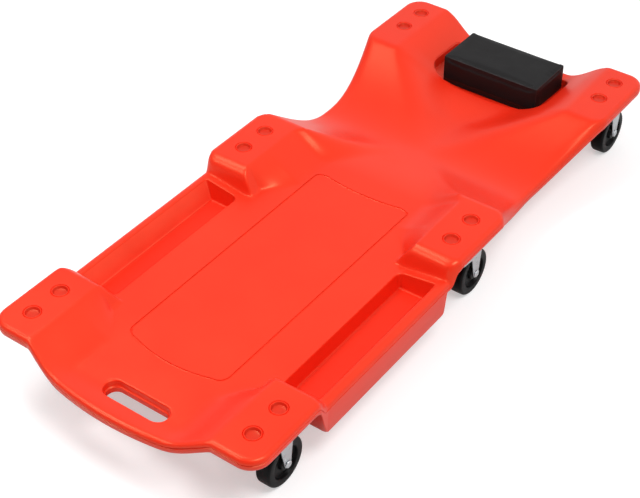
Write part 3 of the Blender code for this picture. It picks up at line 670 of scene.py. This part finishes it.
def edge_profile():
    """The rolled edge as (share of the edge radius inwards, height rule) steps from top to bottom."""
    steps = []
    for angle in np.radians((22, 45, 68, 90)):
        inward = 1 - math.sin(angle)
        steps.append((inward, lambda x, y, r, down=1 - math.cos(angle): top_height(x, y) - r * down))
    for inward, down in ((0.0, 0.0), (PARTING_DEPTH / EDGE_RADIUS, PARTING_HALF), (0.0, 2 * PARTING_HALF)):
        steps.append((
            inward, lambda x, y, r, down=down: top_height(x, y) - np.maximum(PARTING_DROP, r) - down,
        ))
    for angle in np.radians((0, 30, 60, 90)):
        inward = 1 - math.cos(angle)
        steps.append((inward, lambda x, y, r, up=1 - math.sin(angle): under_height(x, y) + EDGE_RADIUS * up))
    return steps


def deck_shell():
    """The deck as a grid over its plan, a rolled edge and an underside, in one closed mesh."""
    shares = deck_columns()
    row_y, row_reach = deck_rows()
    bm = bmesh.new()
    column_of = bm.verts.layers.int.new("column")
    row_of = bm.verts.layers.int.new("row")
    bmesh.ops.create_grid(bm, x_segments=len(shares) - 1, y_segments=len(row_y) - 1, size=1.0)
    for vert in bm.verts:
        vert[column_of] = round((vert.co.x + 1) / 2 * (len(shares) - 1))
        vert[row_of] = round((vert.co.y + 1) / 2 * (len(row_y) - 1))

    def place(verts, inward, height):
        columns = np.array([v[column_of] for v in verts])
        rows = np.array([v[row_of] for v in verts])
        radius = edge_radius(row_y[rows])
        x, y = deck_place(shares[columns], row_y[rows], row_reach[rows], radius * inward)
        for vert, co in zip(verts, np.stack((x, y, height(x, y, radius)), 1)):
            vert.co = co

    top = bm.verts[:]
    edge = [e for e in bm.edges if e.is_boundary]
    copy = bmesh.ops.duplicate(bm, geom=bm.verts[:] + bm.edges[:] + bm.faces[:])
    under = [g for g in copy["geom"] if isinstance(g, bmesh.types.BMVert)]
    place(top, 1.0, lambda x, y, r: top_height(x, y))
    place(under, 1.0, lambda x, y, r: under_height(x, y))
    for inward, height in edge_profile():
        extruded = bmesh.ops.extrude_edge_only(bm, edges=edge)["geom"]
        edge = [g for g in extruded if isinstance(g, bmesh.types.BMEdge) and g.is_boundary]
        place(list({v for e in edge for v in e.verts}), inward, height)
    bmesh.ops.remove_doubles(bm, verts=bm.verts[:], dist=1e-5)
    bmesh.ops.recalc_face_normals(bm, faces=bm.faces[:])
    mesh = bpy.data.meshes.new("deck_moulding")
    bm.to_mesh(mesh)
    bm.free()
    return add_object("deck_moulding", mesh)


def rounded_ring(low, high, radii, inset, steps=8, bow=0.0):
    """A rectangle with rounded corners on the plan, inset from its sides: radii at low x and at high x.

    Its near side can bow out."""
    points = []
    corners = ((1, 1, 0), (0, 1, 90), (0, 0, 180), (1, 0, 270))
    for right, far, start in corners:
        radius = max(radii[right] - inset, radii[right] * LEAST_RADIUS)
        cx = high[0] - inset - radius if right else low[0] + inset + radius
        cy = high[1] - inset - radius if far else low[1] + inset + radius
        for angle in np.radians(np.linspace(start, start + 90, steps)):
            points.append((cx + radius * math.cos(angle), cy + radius * math.sin(angle)))
    ring = np.array(points)
    if bow:
        near = np.linspace(ring[3 * steps - 1], ring[3 * steps], BOW_STEPS)[1:-1]
        ring = np.vstack((ring[:3 * steps], near, ring[3 * steps:]))
        along = (2 * ring[2 * steps:, 0] - low[0] - high[0]) / (high[0] - low[0])
        ring[2 * steps:, 1] -= bow * np.maximum(0.0, 1 - along ** 2)
    return ring


def lofted(name, rings):
    """A closed solid through rings of equally many points."""
    bm = bmesh.new()
    place_of = bm.verts.layers.int.new("place")
    bmesh.ops.create_circle(bm, segments=len(rings[0]), radius=1.0)
    for i, vert in enumerate(bm.verts):
        vert[place_of] = i
        vert.co = rings[0][i]
    edge = bm.edges[:]
    for ring in rings[1:]:
        grown = bmesh.ops.extrude_edge_only(bm, edges=edge)["geom"]
        for vert in (g for g in grown if isinstance(g, bmesh.types.BMVert)):
            vert.co = ring[vert[place_of]]
        edge = [g for g in grown if isinstance(g, bmesh.types.BMEdge)]
    bmesh.ops.remove_doubles(bm, verts=bm.verts[:], dist=MERGE)
    bmesh.ops.holes_fill(bm, edges=bm.edges[:])
    bmesh.ops.recalc_face_normals(bm, faces=bm.faces[:])
    mesh = bpy.data.meshes.new(name)
    bm.to_mesh(mesh)
    bm.free()
    return add_object(name, mesh)


def at_height(ring, height):
    return np.column_stack((ring, np.broadcast_to(height, len(ring))))


def arc_steps(radius, count):
    """(inward, down) steps of a quarter round from level to upright."""
    return [(radius * math.sin(a), radius * (1 - math.cos(a))) for a in np.linspace(0, math.pi / 2, count)]


def hollow(name, low, high, radii, floor, lip, draft, fillet, bow=0.0):
    """A hollow in the top of the deck: a rounded edge, leaning walls and a fillet round the floor."""
    edge = rounded_ring(low, high, radii, 0.0, bow=bow)
    rim = top_height(edge[:, 0], edge[:, 1])
    depth = np.minimum(1.0, (rim - floor) / (2 * (lip + fillet)))
    rings = [at_height(rounded_ring(low, high, radii, -lip, bow=bow), PAD_HEIGHT + LIP)]
    for inward, down in arc_steps(lip, 5):
        ring = rounded_ring(low, high, radii, inward - lip, bow=bow)
        rings.append(at_height(ring, rim + GAP / 2 - down * depth))
    for inward, down in arc_steps(fillet, 5):
        ring = rounded_ring(low, high, radii, draft + down, bow=bow)
        rings.append(at_height(ring, floor + (fillet - inward) * depth))
    return lofted(name, rings)


def tray_cutter(side):
    low, high = (TRAY_INNER, TRAY_NEAR), (TRAY_OUTER, TRAY_FAR)
    radii = (TRAY_BED_CORNER, TRAY_SIDE_CORNER)
    if side < 0:
        low, high = (-TRAY_OUTER, TRAY_NEAR), (-TRAY_INNER, TRAY_FAR)
        radii = radii[::-1]
    cutter = hollow("tray_hollow", low, high, radii, TRAY_TOP, TRAY_LIP, TRAY_DRAFT, TRAY_FILLET)
    for vertex in cutter.data.vertices:
        down = np.clip((TRAY_TOP + TRAY_DEPTH - vertex.co.z) / TRAY_DEPTH, 0.0, 1.0)
        across = (abs(vertex.co.x) - TRAY_INNER) / (TRAY_OUTER - TRAY_INNER)
        vertex.co.x -= side * TRAY_LEAN * down * across
    return cutter


def pocket_cutter():
    low = (PAD_LOW.x - POCKET_ENDS, PAD_LOW.y - POCKET_FRONT)
    high = (PAD_HIGH.x + POCKET_ENDS, PAD_HIGH.y + POCKET_FRONT)
    radii = (POCKET_CORNER, POCKET_CORNER)
    edge = rounded_ring(low, high, radii, 0.0, bow=POCKET_BOW)
    floor = under_height(edge[:, 0], edge[:, 1]) + POCKET_SKIN
    return hollow(
        "headrest_pocket", low, high, radii, floor, POCKET_LIP, POCKET_FILLET, POCKET_FILLET, POCKET_BOW,
    )


def slot_cutter():
    """The hand hole: a flared mouth above, a narrow ledge half-way and a flare below."""
    low = (SLOT_X - SLOT_HALF_LENGTH, SLOT_Y - SLOT_HALF_WIDTH)
    high = (SLOT_X + SLOT_HALF_LENGTH, SLOT_Y + SLOT_HALF_WIDTH)
    radii = (SLOT_HALF_WIDTH, SLOT_HALF_WIDTH)

    def ring(inward, height):
        return at_height(rounded_ring(low, high, radii, inward, SLOT_STEPS), height)

    edge = rounded_ring(low, high, radii, 0.0, SLOT_STEPS)
    rim = top_height(edge[:, 0], edge[:, 1])
    under = rim - LIP
    rings = [ring(-SLOT_LIP, PAD_HEIGHT + LIP)]
    rings += [ring(inward - SLOT_LIP, rim + GAP / 2 - down) for inward, down in arc_steps(SLOT_LIP, 6)]
    rings += [ring(inward, rim - LIP / 2 + up) for inward, up in SLOT_LEDGE_FORM]
    rings += [ring(SLOT_LEDGE, under + SLOT_LIP), ring(SLOT_LEDGE * 0.7, under + SLOT_LIP * 0.3)]
    rings += [ring(0.0, under - GAP), ring(0.0, under - LIP)]
    return lofted("hand_hole", rings)


def dimple_places():
    """Middles of the dimples, two over each caster."""
    rows = [(x, MID_DIMPLES if name.startswith("mid") else y) for name, (x, y, z) in CASTERS.items()]
    return [(x, y + end * DIMPLE_SPACING / 2) for x, y in rows for end in (-1, 1)]


def dimple_cutters():
    """Round dished recesses over the casters, each with a fine ring round it."""
    steps = np.radians(np.linspace(0, 360, DIMPLE_STEPS, endpoint=False))
    circle = np.column_stack((np.cos(steps), np.sin(steps)))
    cutters = []
    for centre in np.array(dimple_places()):
        top = top_height(centre[:1], centre[1:])[0]
        rings = [at_height(centre + radius * circle, top + up) for radius, up in DIMPLE_FORM]
        cutters.append(lofted("dimple", rings))
    return cutters


def panel_outline():
    """The groove's path: straight sides, a foot edge that bows out and a head edge that bows in."""
    span = PANEL_HALF - PANEL_CORNER
    across = np.linspace(span, -span, PANEL_STEPS)[1:-1]
    bow = 1 - (across / span) ** 2
    turn = np.radians(np.linspace(0, 90, PANEL_CORNER_STEPS))
    outward = span + PANEL_CORNER * np.cos(turn)
    inward = PANEL_CORNER * (1 - np.sin(turn))
    head_corner = np.column_stack((outward, PANEL_HEAD - inward / 2))
    foot_corner = np.column_stack((outward, PANEL_FOOT + inward))
    mirror = np.array((-1.0, 1.0))
    return np.vstack((
        head_corner,
        np.column_stack((across, PANEL_HEAD - PANEL_HEAD_BOW * bow)),
        head_corner[::-1] * mirror,
        foot_corner * mirror,
        np.column_stack((-across, PANEL_FOOT - PANEL_FOOT_BOW * bow)),
        foot_corner[::-1],
    ))


def groove_cutter():
    path = panel_outline()
    heights = top_height(path[:, 0], path[:, 1])
    line = bpy.data.curves.new("panel_groove", "CURVE")
    line.dimensions = "3D"
    line.bevel_depth = GROOVE_RADIUS
    line.bevel_resolution = 2
    spline = line.splines.new("POLY")
    spline.points.add(len(path) - 1)
    for point, (x, y), z in zip(spline.points, path, heights):
        point.co = (x, y, z + GROOVE_LIFT, 1.0)
    spline.use_cyclic_u = True
    groove = add_object("panel_groove", line)
    use(groove)
    bpy.ops.object.convert(target="MESH")
    return bpy.context.object


def join(objects):
    use(objects[0])
    for obj in objects[1:]:
        obj.select_set(True)
    bpy.ops.object.join()
    return objects[0]


def boolean(obj, operation, cutter):
    modifier = obj.modifiers.new(cutter.name, "BOOLEAN")
    modifier.operation = operation
    modifier.solver = "EXACT"
    modifier.object = cutter
    apply_modifiers(obj)
    bpy.data.objects.remove(cutter)


def boss_blocks():
    """The bosses under the pads that the caster plates are screwed to."""
    blocks = []
    half = (BOSS_WIDTH / 2, BOSS_LENGTH / 2)
    radii = (BOSS_WIDTH / 2, BOSS_WIDTH / 2)
    for x, y, z in CASTERS.values():
        low = (x - half[0], y - half[1])
        high = (x + half[0], y + half[1])
        rings = [at_height(rounded_ring(low, high, radii, 0.0, BOSS_STEPS), PAD_HEIGHT - LIP / 2)]
        for inward, down in arc_steps(BOSS_EDGE, 4):
            ring = rounded_ring(low, high, radii, down, BOSS_STEPS)
            rings.append(at_height(ring, MOUNT_HEIGHT + GAP + BOSS_EDGE - inward))
        blocks.append(lofted("caster_boss", rings))
    return join(blocks)


def refinish(piece, material, faces):
    """Gives some faces of a piece a material of their own."""
    piece.data.materials.append(material)
    for face in faces:
        face.material_index = len(piece.data.materials) - 1


def in_dimple(face, middles):
    x, y, z = face.center
    return z > MOUNT_HEIGHT + LIP and any(math.hypot(x - u, y - v) < DIMPLE_RADIUS for u, v in middles)


def in_tray(face):
    """Whether a face lies inside a tray, below its rounded edge."""
    x, y, z = face.center
    over = TRAY_INNER < abs(x) < TRAY_OUTER and TRAY_NEAR < y < TRAY_FAR and z > TRAY_TOP - GAP
    return over and z < top_height(np.array([x]), np.array([y]))[0] - TRAY_LIP


def on_outer_wall(face):
    return -face.normal.x * math.copysign(1, face.center.x) > TRAY_OUTER_WALL


def make_deck():
    deck = deck_shell()
    boolean(deck, "UNION", boss_blocks())
    hollows = [tray_cutter(1), tray_cutter(-1), pocket_cutter(), slot_cutter()] + dimple_cutters()
    boolean(deck, "DIFFERENCE", join(hollows))
    boolean(deck, "DIFFERENCE", groove_cutter())
    shade(deck, 32)
    dress(deck, "deck", "deck_plastic", POLYETHYLENE, "deck")
    faces = deck.data.polygons
    middles = dimple_places()
    inside = [face for face in faces if in_tray(face)]
    # The dimples are darker in colour: a painted shade in the recesses.
    refinish(deck, DIMPLE_SHADE, [face for face in faces if in_dimple(face, middles)])
    # Inside the trays the deck is matt and grained, and darker in colour: a painted shade.
    refinish(deck, TRAY_GRAIN_AND_SHADE, inside)
    # The trays' outer walls get a coarser grain and a paler colour: the paleness is painted light and sheen.
    refinish(deck, WALL_GRAIN_AND_SHEEN, [face for face in inside if on_outer_wall(face)])


def rounded(piece, width, degrees=35, segments=3):
    """Rounds the hard edges of a piece."""
    bevel = piece.modifiers.new("rounded", "BEVEL")
    bevel.width = width
    bevel.segments = segments
    bevel.limit_method = "ANGLE"
    bevel.angle_limit = math.radians(degrees)
    apply_modifiers(piece)


def turned(name, profile, steps=56):
    """A profile of (radius, height) points turned about Z: a ring, extruded and scaled along it."""
    deselect()
    radius, height = profile[0]
    bpy.ops.mesh.primitive_circle_add(vertices=steps, radius=radius, location=(0.0, 0.0, height))
    piece = bpy.context.object
    piece.name = name
    bpy.ops.object.transform_apply()
    bpy.ops.object.mode_set(mode="EDIT")
    bpy.ops.mesh.select_all(action="SELECT")
    for (r0, h0), (r1, h1) in zip(profile, profile[1:]):
        bpy.ops.mesh.extrude_edges_move(TRANSFORM_OT_translate={"value": (0.0, 0.0, h1 - h0)})
        bpy.ops.transform.resize(value=(r1 / r0, r1 / r0, 1.0), center_override=(0.0, 0.0, h1))
    bpy.ops.mesh.select_all(action="SELECT")
    bpy.ops.mesh.remove_doubles(threshold=MERGE)
    bpy.ops.mesh.fill_holes(sides=0)
    bpy.ops.mesh.normals_make_consistent(inside=False)
    bpy.ops.object.mode_set(mode="OBJECT")
    return piece


def flat(name, outline, thickness):
    """A sheet with a closed outline of (x, y) points, from z = 0 up."""
    line = bpy.data.curves.new(name, "CURVE")
    line.dimensions = "2D"
    line.fill_mode = "BOTH"
    line.extrude = thickness / 2
    spline = line.splines.new("POLY")
    spline.points.add(len(outline) - 1)
    for point, (x, y) in zip(spline.points, outline):
        point.co = (x, y, 0.0, 1.0)
    spline.use_cyclic_u = True
    sheet = add_object(name, line)
    use(sheet)
    bpy.ops.object.convert(target="MESH")
    sheet = bpy.context.object
    sheet.data.transform(Matrix.Translation((0.0, 0.0, thickness / 2)))
    bpy.ops.object.mode_set(mode="EDIT")
    bpy.ops.mesh.select_all(action="SELECT")
    bpy.ops.mesh.remove_doubles(threshold=MERGE)
    bpy.ops.mesh.normals_make_consistent(inside=False)
    bpy.ops.object.mode_set(mode="OBJECT")
    return sheet


def arc(x, y, radius, start, end, steps):
    angles = np.radians(np.linspace(start, end, steps))
    return [(x + radius * math.cos(a), y + radius * math.sin(a)) for a in angles]


def lay_on_x(piece):
    """Turns a piece that was modelled about Z so that its axis lies along X."""
    piece.data.transform(Matrix.Rotation(math.pi / 2, 4, "Y"))


def model_wheel():
    """Moulded wheel: broad rounded shoulders, a flat ring on each side, a recessed web and a hub."""
    half = WHEEL_WIDTH / 2
    web = WHEEL_WEB / 2
    ring = WHEEL_RADIUS - WHEEL_RING
    side = [
        (AXLE_RADIUS + GAP, WHEEL_HUB_WIDTH / 2), (WHEEL_HUB_RADIUS - WHEEL_LEAN, WHEEL_HUB_WIDTH / 2),
        (WHEEL_HUB_RADIUS, web), (ring - WHEEL_LEAN, web), (ring, half),
    ]
    side += arc(WHEEL_RADIUS - WHEEL_CROWN, half - WHEEL_CROWN, WHEEL_CROWN, 90, 0, 9)
    profile = side + [(radius, -height) for radius, height in reversed(side)] + side[:1]
    wheel = turned("wheel", profile)
    rounded(wheel, MOULD_EDGE)
    lay_on_x(wheel)
    shade(wheel, 30)
    return wheel


def model_axle():
    """Riveted axle: a low domed head outside each leg of the fork, with a punched middle."""
    seat = LEG_OUTER + GAP
    dome = [(AXLE_RADIUS * 0.30, AXLE_HEAD * 0.72), (AXLE_RADIUS * 0.42, AXLE_HEAD)]
    dome += [(AXLE_HEAD_RADIUS * 0.72, AXLE_HEAD * 0.92), (AXLE_HEAD_RADIUS * 0.93, AXLE_HEAD * 0.6)]
    dome += [(AXLE_HEAD_RADIUS, AXLE_HEAD * 0.2), (AXLE_HEAD_RADIUS, 0.0), (AXLE_RADIUS, 0.0)]
    end = [(radius, seat + height) for radius, height in dome]
    axle = turned("axle", end + [(radius, -height) for radius, height in reversed(end)], 32)
    rounded(axle, RIVET_EDGE, 50, 2)
    lay_on_x(axle)
    shade(axle, 40)
    return axle


def model_fork():
    """Bent sheet fork: a U with rounded bends, cut to the side view of its crown and tapered legs."""
    bend = FORK_BEND
    outer = LEG_OUTER
    inner = LEG_OUTER - FORK_SHEET
    top = CROWN_TOP
    low = WHEEL_RADIUS - 2 * LEG_END_RADIUS
    section = [(outer, low)] + arc(outer - bend, top - bend, bend, 0, 90, 7)
    section += arc(bend - outer, top - bend, bend, 90, 180, 7) + [(-outer, low), (-inner, low)]
    section += arc(bend - outer, top - bend, bend - FORK_SHEET, 180, 90, 7)
    section += arc(outer - bend, top - bend, bend - FORK_SHEET, 90, 0, 7) + [(inner, low)]
    depth = 4 * FORK_REAR
    fork = flat("fork", section, depth)
    fork.data.transform(Matrix.Translation((0.0, depth / 2, 0.0)) @ Matrix.Rotation(math.pi / 2, 4, "X"))
    waist = CROWN_BOTTOM - WHEEL_GAP
    outline = arc(TRAIL, WHEEL_RADIUS, LEG_END_RADIUS, 192, 353, 15)
    outline += [(FORK_REAR, waist), (FORK_REAR, top + GAP), (-FORK_FRONT, top + GAP), (-FORK_FRONT, waist)]
    outline.append((LEG_FRONT, waist - FORK_SHEET))
    side_view = flat("fork_side", outline, 4 * LEG_OUTER)
    upright = Matrix(((0, 0, 1, -2 * LEG_OUTER), (1, 0, 0, 0), (0, 1, 0, 0), (0, 0, 0, 1)))
    side_view.data.transform(upright)
    boolean(fork, "INTERSECT", side_view)
    rounded(fork, SHEET_EDGE, 50)
    shade(fork, 40)
    return fork


def model_plate():
    """Mounting plate: a stadium of thick sheet with broken edges."""
    reach = (PLATE_LENGTH - PLATE_WIDTH) / 2
    outline = arc(0.0, reach, PLATE_WIDTH / 2, 0, 180, 25) + arc(0.0, -reach, PLATE_WIDTH / 2, 180, 360, 25)
    plate = flat("plate", outline, PLATE_THICKNESS)
    plate.data.transform(Matrix.Translation((0.0, 0.0, MOUNT_HEIGHT - PLATE_THICKNESS)))
    rounded(plate, SHEET_EDGE, 50)
    shade(plate, 40)
    return plate


def model_race():
    """Swivel race: two pressed cups that meet in a groove."""
    top = MOUNT_HEIGHT - PLATE_THICKNESS - GAP
    bottom = CROWN_TOP + GAP
    middle = (top + bottom) / 2
    inner = RACE_RADIUS - RACE_WALL
    profile = [
        (inner, top),
        (RACE_RADIUS * 0.88, top),
        (RACE_RADIUS * 0.98, top - RACE_ROUND),
        (RACE_RADIUS, middle + 2 * RACE_GROOVE),
        (RACE_RADIUS * 0.9, middle + RACE_GROOVE),
        (RACE_RADIUS * 0.9, middle - RACE_GROOVE),
        (RACE_RADIUS, middle - 2 * RACE_GROOVE),
        (RACE_RADIUS * 0.96, bottom + RACE_ROUND),
        (RACE_RADIUS * 0.86, bottom),
        (inner, bottom),
        (inner, top),
    ]
    race = turned("swivel_race", profile)
    shade(race, 40)
    return race


def model_kingpin():
    """Rivet through the swivel with a domed head below the crown."""
    top = MOUNT_HEIGHT - GAP
    seat = CROWN_BOTTOM - GAP
    turn = np.radians((0, 20, 40, 60, 78))
    dome = [(KINGPIN_HEAD_RADIUS * math.cos(a), seat - KINGPIN_HEAD * math.sin(a)) for a in turn]
    pin = turned("kingpin", [(KINGPIN_RADIUS, top), (KINGPIN_RADIUS, seat)] + dome, 32)
    shade(pin, 40)
    return pin


def model_screw(length):
    """Hex head screw with a pressed flange, pointing up from z = 0."""
    hexagon_radius = SCREW_HEAD_RADIUS * SCREW_HEXAGON
    middle = SCREW_HEAD_RADIUS / 2
    flange = turned("screw", [
        (SCREW_RADIUS, length),
        (SCREW_RADIUS, 0.0),
        (SCREW_HEAD_RADIUS, 0.0),
        (SCREW_HEAD_RADIUS, -SCREW_FLANGE / 2),
        (hexagon_radius, -SCREW_FLANGE),
        (middle, -SCREW_FLANGE),
    ], 32)
    hexagon = turned("hexagon", [
        (middle, -SCREW_FLANGE * 2 / 3),
        (hexagon_radius, -SCREW_FLANGE * 2 / 3),
        (hexagon_radius, -SCREW_HEAD),
        (middle, -SCREW_HEAD),
    ], 6)
    rounded(hexagon, RIVET_EDGE, 40, 2)
    boolean(flange, "UNION", hexagon)
    shade(flange, 30)
    return flange


def copy_to(model, name, place):
    """A copy of a model with its own mesh, moved to its place."""
    mesh = model.data.copy()
    mesh.transform(Matrix.Translation(place))
    mesh.name = name
    return add_object(name, mesh)


def make_casters():
    wheel = model_wheel()
    axle = model_axle()
    on_plate = {"plate": model_plate(), "kingpin": model_kingpin(), "swivel_race": model_race()}
    fork = model_fork()
    screw_low, screw_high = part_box("foot_left_screw_foot")
    screw = model_screw(screw_high.z - screw_low.z - SCREW_HEAD)
    for name, (x, y, z) in CASTERS.items():
        hub = (x, y + TRAIL, WHEEL_RADIUS)
        rolling = copy_to(wheel, name + "_moulded_wheel", hub)
        dress(rolling, name + "_wheel", "wheel_plastic", POLYPROPYLENE, name + "_wheel")
        plated = [("axle", axle, hub, name + "_swivel"), ("fork", fork, (x, y, 0.0), name + "_swivel")]
        plated += [(part, model, (x, y, 0.0), "deck") for part, model in on_plate.items()]
        for part, model, place, body in plated:
            node = f"{name}_{part}"
            dress(copy_to(model, node + "_plated", place), body, "zinc_steel", ZINC, node)
        for end in ("foot", "head"):
            node = f"{name}_screw_{end}"
            low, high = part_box(node)
            place = ((low.x + high.x) / 2, (low.y + high.y) / 2, low.z + SCREW_HEAD)
            dress(copy_to(screw, node + "_plated", place), "deck", "zinc_steel", ZINC, node)
    for model in (wheel, axle, fork, screw, *on_plate.values()):
        bpy.data.objects.remove(model)


def swell(pad, cap):
    """Lets the filling press the cover outwards, no further than the cap."""
    start = np.empty(len(pad.data.vertices) * 3)
    pad.data.vertices.foreach_get("co", start)
    cloth = pad.modifiers.new("cover", "CLOTH")
    settings = cloth.settings
    settings.use_pressure = True
    settings.uniform_pressure_force = 4.0
    settings.effector_weights.gravity = 0.0
    settings.tension_stiffness = 40.0
    settings.compression_stiffness = 40.0
    scene = bpy.context.scene
    for step in range(SWELL_FRAMES):
        scene.frame_set(step + 1)
    shaped = pad.evaluated_get(bpy.context.evaluated_depsgraph_get())
    end = np.empty_like(start)
    shaped.data.vertices.foreach_get("co", end)
    pad.modifiers.remove(cloth)
    scene.frame_set(1)
    move = (end - start).reshape(-1, 3)
    reach = np.linalg.norm(move, axis=1, keepdims=True)
    move *= np.minimum(1.0, cap / np.maximum(reach, MERGE))
    pad.data.vertices.foreach_set("co", (start.reshape(-1, 3) + move).ravel())


def make_headrest():
    """Foam block under a stretched vinyl cover, open below for its board."""
    centre = (PAD_LOW + PAD_HIGH) / 2
    size = PAD_HIGH - PAD_LOW
    deselect()
    shift = (HEADREST_REACH + HEADREST_INSET) / 2
    length = size.x + HEADREST_REACH - HEADREST_INSET
    bpy.ops.mesh.primitive_cube_add(
        size=1.0, location=(centre.x + shift, centre.y, centre.z),
        scale=(length - 2 * SWELL, size.y - 2 * SWELL, size.z),
    )
    pad = bpy.context.object
    pad.name = "headrest_cover"
    bpy.ops.object.transform_apply()
    bpy.ops.object.mode_set(mode="EDIT")
    bpy.ops.mesh.select_all(action="SELECT")
    bpy.ops.mesh.subdivide(number_cuts=HEADREST_CUTS)
    bpy.ops.object.mode_set(mode="OBJECT")
    swell(pad, SWELL)
    places = np.empty(len(pad.data.vertices) * 3)
    pad.data.vertices.foreach_get("co", places)
    x, y, z = places.reshape(-1, 3).T
    low = min(z)
    beside = np.maximum(np.abs(x) - BOARD_HIGH.x, np.abs(y - centre.y) - (BOARD_HIGH.y - BOARD_LOW.y) / 2)
    over_board = top_height(x, y) + BOARD_ROOM
    in_pocket = under_height(x, y) + POCKET_SKIN
    bottom = HEADREST_GAP + np.where(beside < GAP, over_board, in_pocket)
    z = bottom + (z - low) / (max(z) - low) * (PAD_HIGH.z - HEADREST_TOP_DROP - bottom)
    pad.data.vertices.foreach_set("co", np.column_stack((x, y, z)).ravel())
    dress(pad, "deck", "vinyl", VINYL, "headrest_pad")
    # The bevelled edges get the shinier vinyl, whose paler colour is a painted highlight.
    pad.data.materials.append(EDGE_SHINE_AND_HIGHLIGHT)
    edges = pad.modifiers.new("edges", "BEVEL")
    edges.width = HEADREST_EDGE
    edges.limit_method = "ANGLE"
    edges.angle_limit = math.radians(50)
    edges.material = 1
    apply_modifiers(pad)
    shade(pad, 20)


make_deck()
make_casters()
make_headrest()
for node in ("headrest_board", "headrest_screw_left", "headrest_screw_right"):
    mesh = frame["nodes"][node].data
    mesh.materials.clear()
    mesh.materials.append(PLYWOOD if node == "headrest_board" else ZINC)


def make_camera():
    camera = bpy.data.cameras.new("camera")
    camera.lens = CAMERA_LENS
    camera.sensor_width = CAMERA_SENSOR
    camera.sensor_fit = "HORIZONTAL"
    camera.clip_end = 30.0
    obj = add_object("camera", camera)
    obj.location = CAMERA_PLACE
    obj.rotation_euler = (math.radians(90 - CAMERA_ELEVATION), 0.0, math.radians(CAMERA_AZIMUTH))
    bpy.context.scene.camera = obj


def make_stage():
    deselect()
    bpy.ops.mesh.primitive_plane_add(size=FLOOR_SIZE)
    floor = bpy.context.object
    floor.name = "floor"
    material, tree, shader, place = new_material("white_paper")
    shader.inputs["Base Color"].default_value = linear("#D6D6D6")
    shader.inputs["Roughness"].default_value = 0.9
    shader.inputs["Specular IOR Level"].default_value = 0.1
    rays = add_node(tree, "ShaderNodeLightPath")
    mirrored = add_node(tree, "ShaderNodeMath", {
        0: rays.outputs["Is Glossy Ray"], 1: FLOOR_MIRRORED,
    }, operation="MULTIPLY")
    glow = add_node(tree, "ShaderNodeMath", {
        0: rays.outputs["Is Camera Ray"], 1: FLOOR_GLOW, 2: mirrored.outputs[0],
    }, operation="MULTIPLY_ADD")
    shader.inputs["Emission Color"].default_value = (1.0, 1.0, 1.0, 1.0)
    tree.links.new(glow.outputs[0], shader.inputs["Emission Strength"])
    floor.data.materials.append(material)


def add_lamp(name, place, size, power):
    lamp = bpy.data.lights.new(name, "AREA")
    lamp.shape = "ELLIPSE"
    lamp.size, lamp.size_y = size
    lamp.energy = power
    obj = add_object(name, lamp)
    obj.location = place
    obj.rotation_euler = (Vector(LAMP_AIM) - Vector(place)).to_track_quat("-Z", "Y").to_euler()


def make_light():
    """A white studio that is brightest behind the object and to its right, with soft lamps overhead."""
    world = bpy.data.worlds.new("studio")
    bpy.context.scene.world = world
    world.use_nodes = True
    tree = world.node_tree
    background = tree.nodes["Background"]
    background.inputs["Color"].default_value = (1.0, 1.0, 1.0, 1.0)
    way = add_node(tree, "ShaderNodeTexCoord")
    side = add_node(tree, "ShaderNodeVectorMath", {
        0: way.outputs["Generated"], 1: BRIGHT_SIDE,
    }, operation="DOT_PRODUCT")
    fall = add_node(tree, "ShaderNodeMapRange", {
        "Value": side.outputs["Value"], "From Min": -0.6, "From Max": 0.8, "To Min": DIM, "To Max": BRIGHT,
    })
    rays = add_node(tree, "ShaderNodeLightPath")
    glow = add_node(tree, "ShaderNodeMath", {
        0: rays.outputs["Is Camera Ray"], 1: fall.outputs["Result"],
    }, operation="MAXIMUM")
    tree.links.new(glow.outputs[0], background.inputs["Strength"])
    for lamp in LAMPS:
        add_lamp(*lamp)
    bpy.context.scene.view_settings.view_transform = "Standard"


make_camera()
make_stage()
make_light()
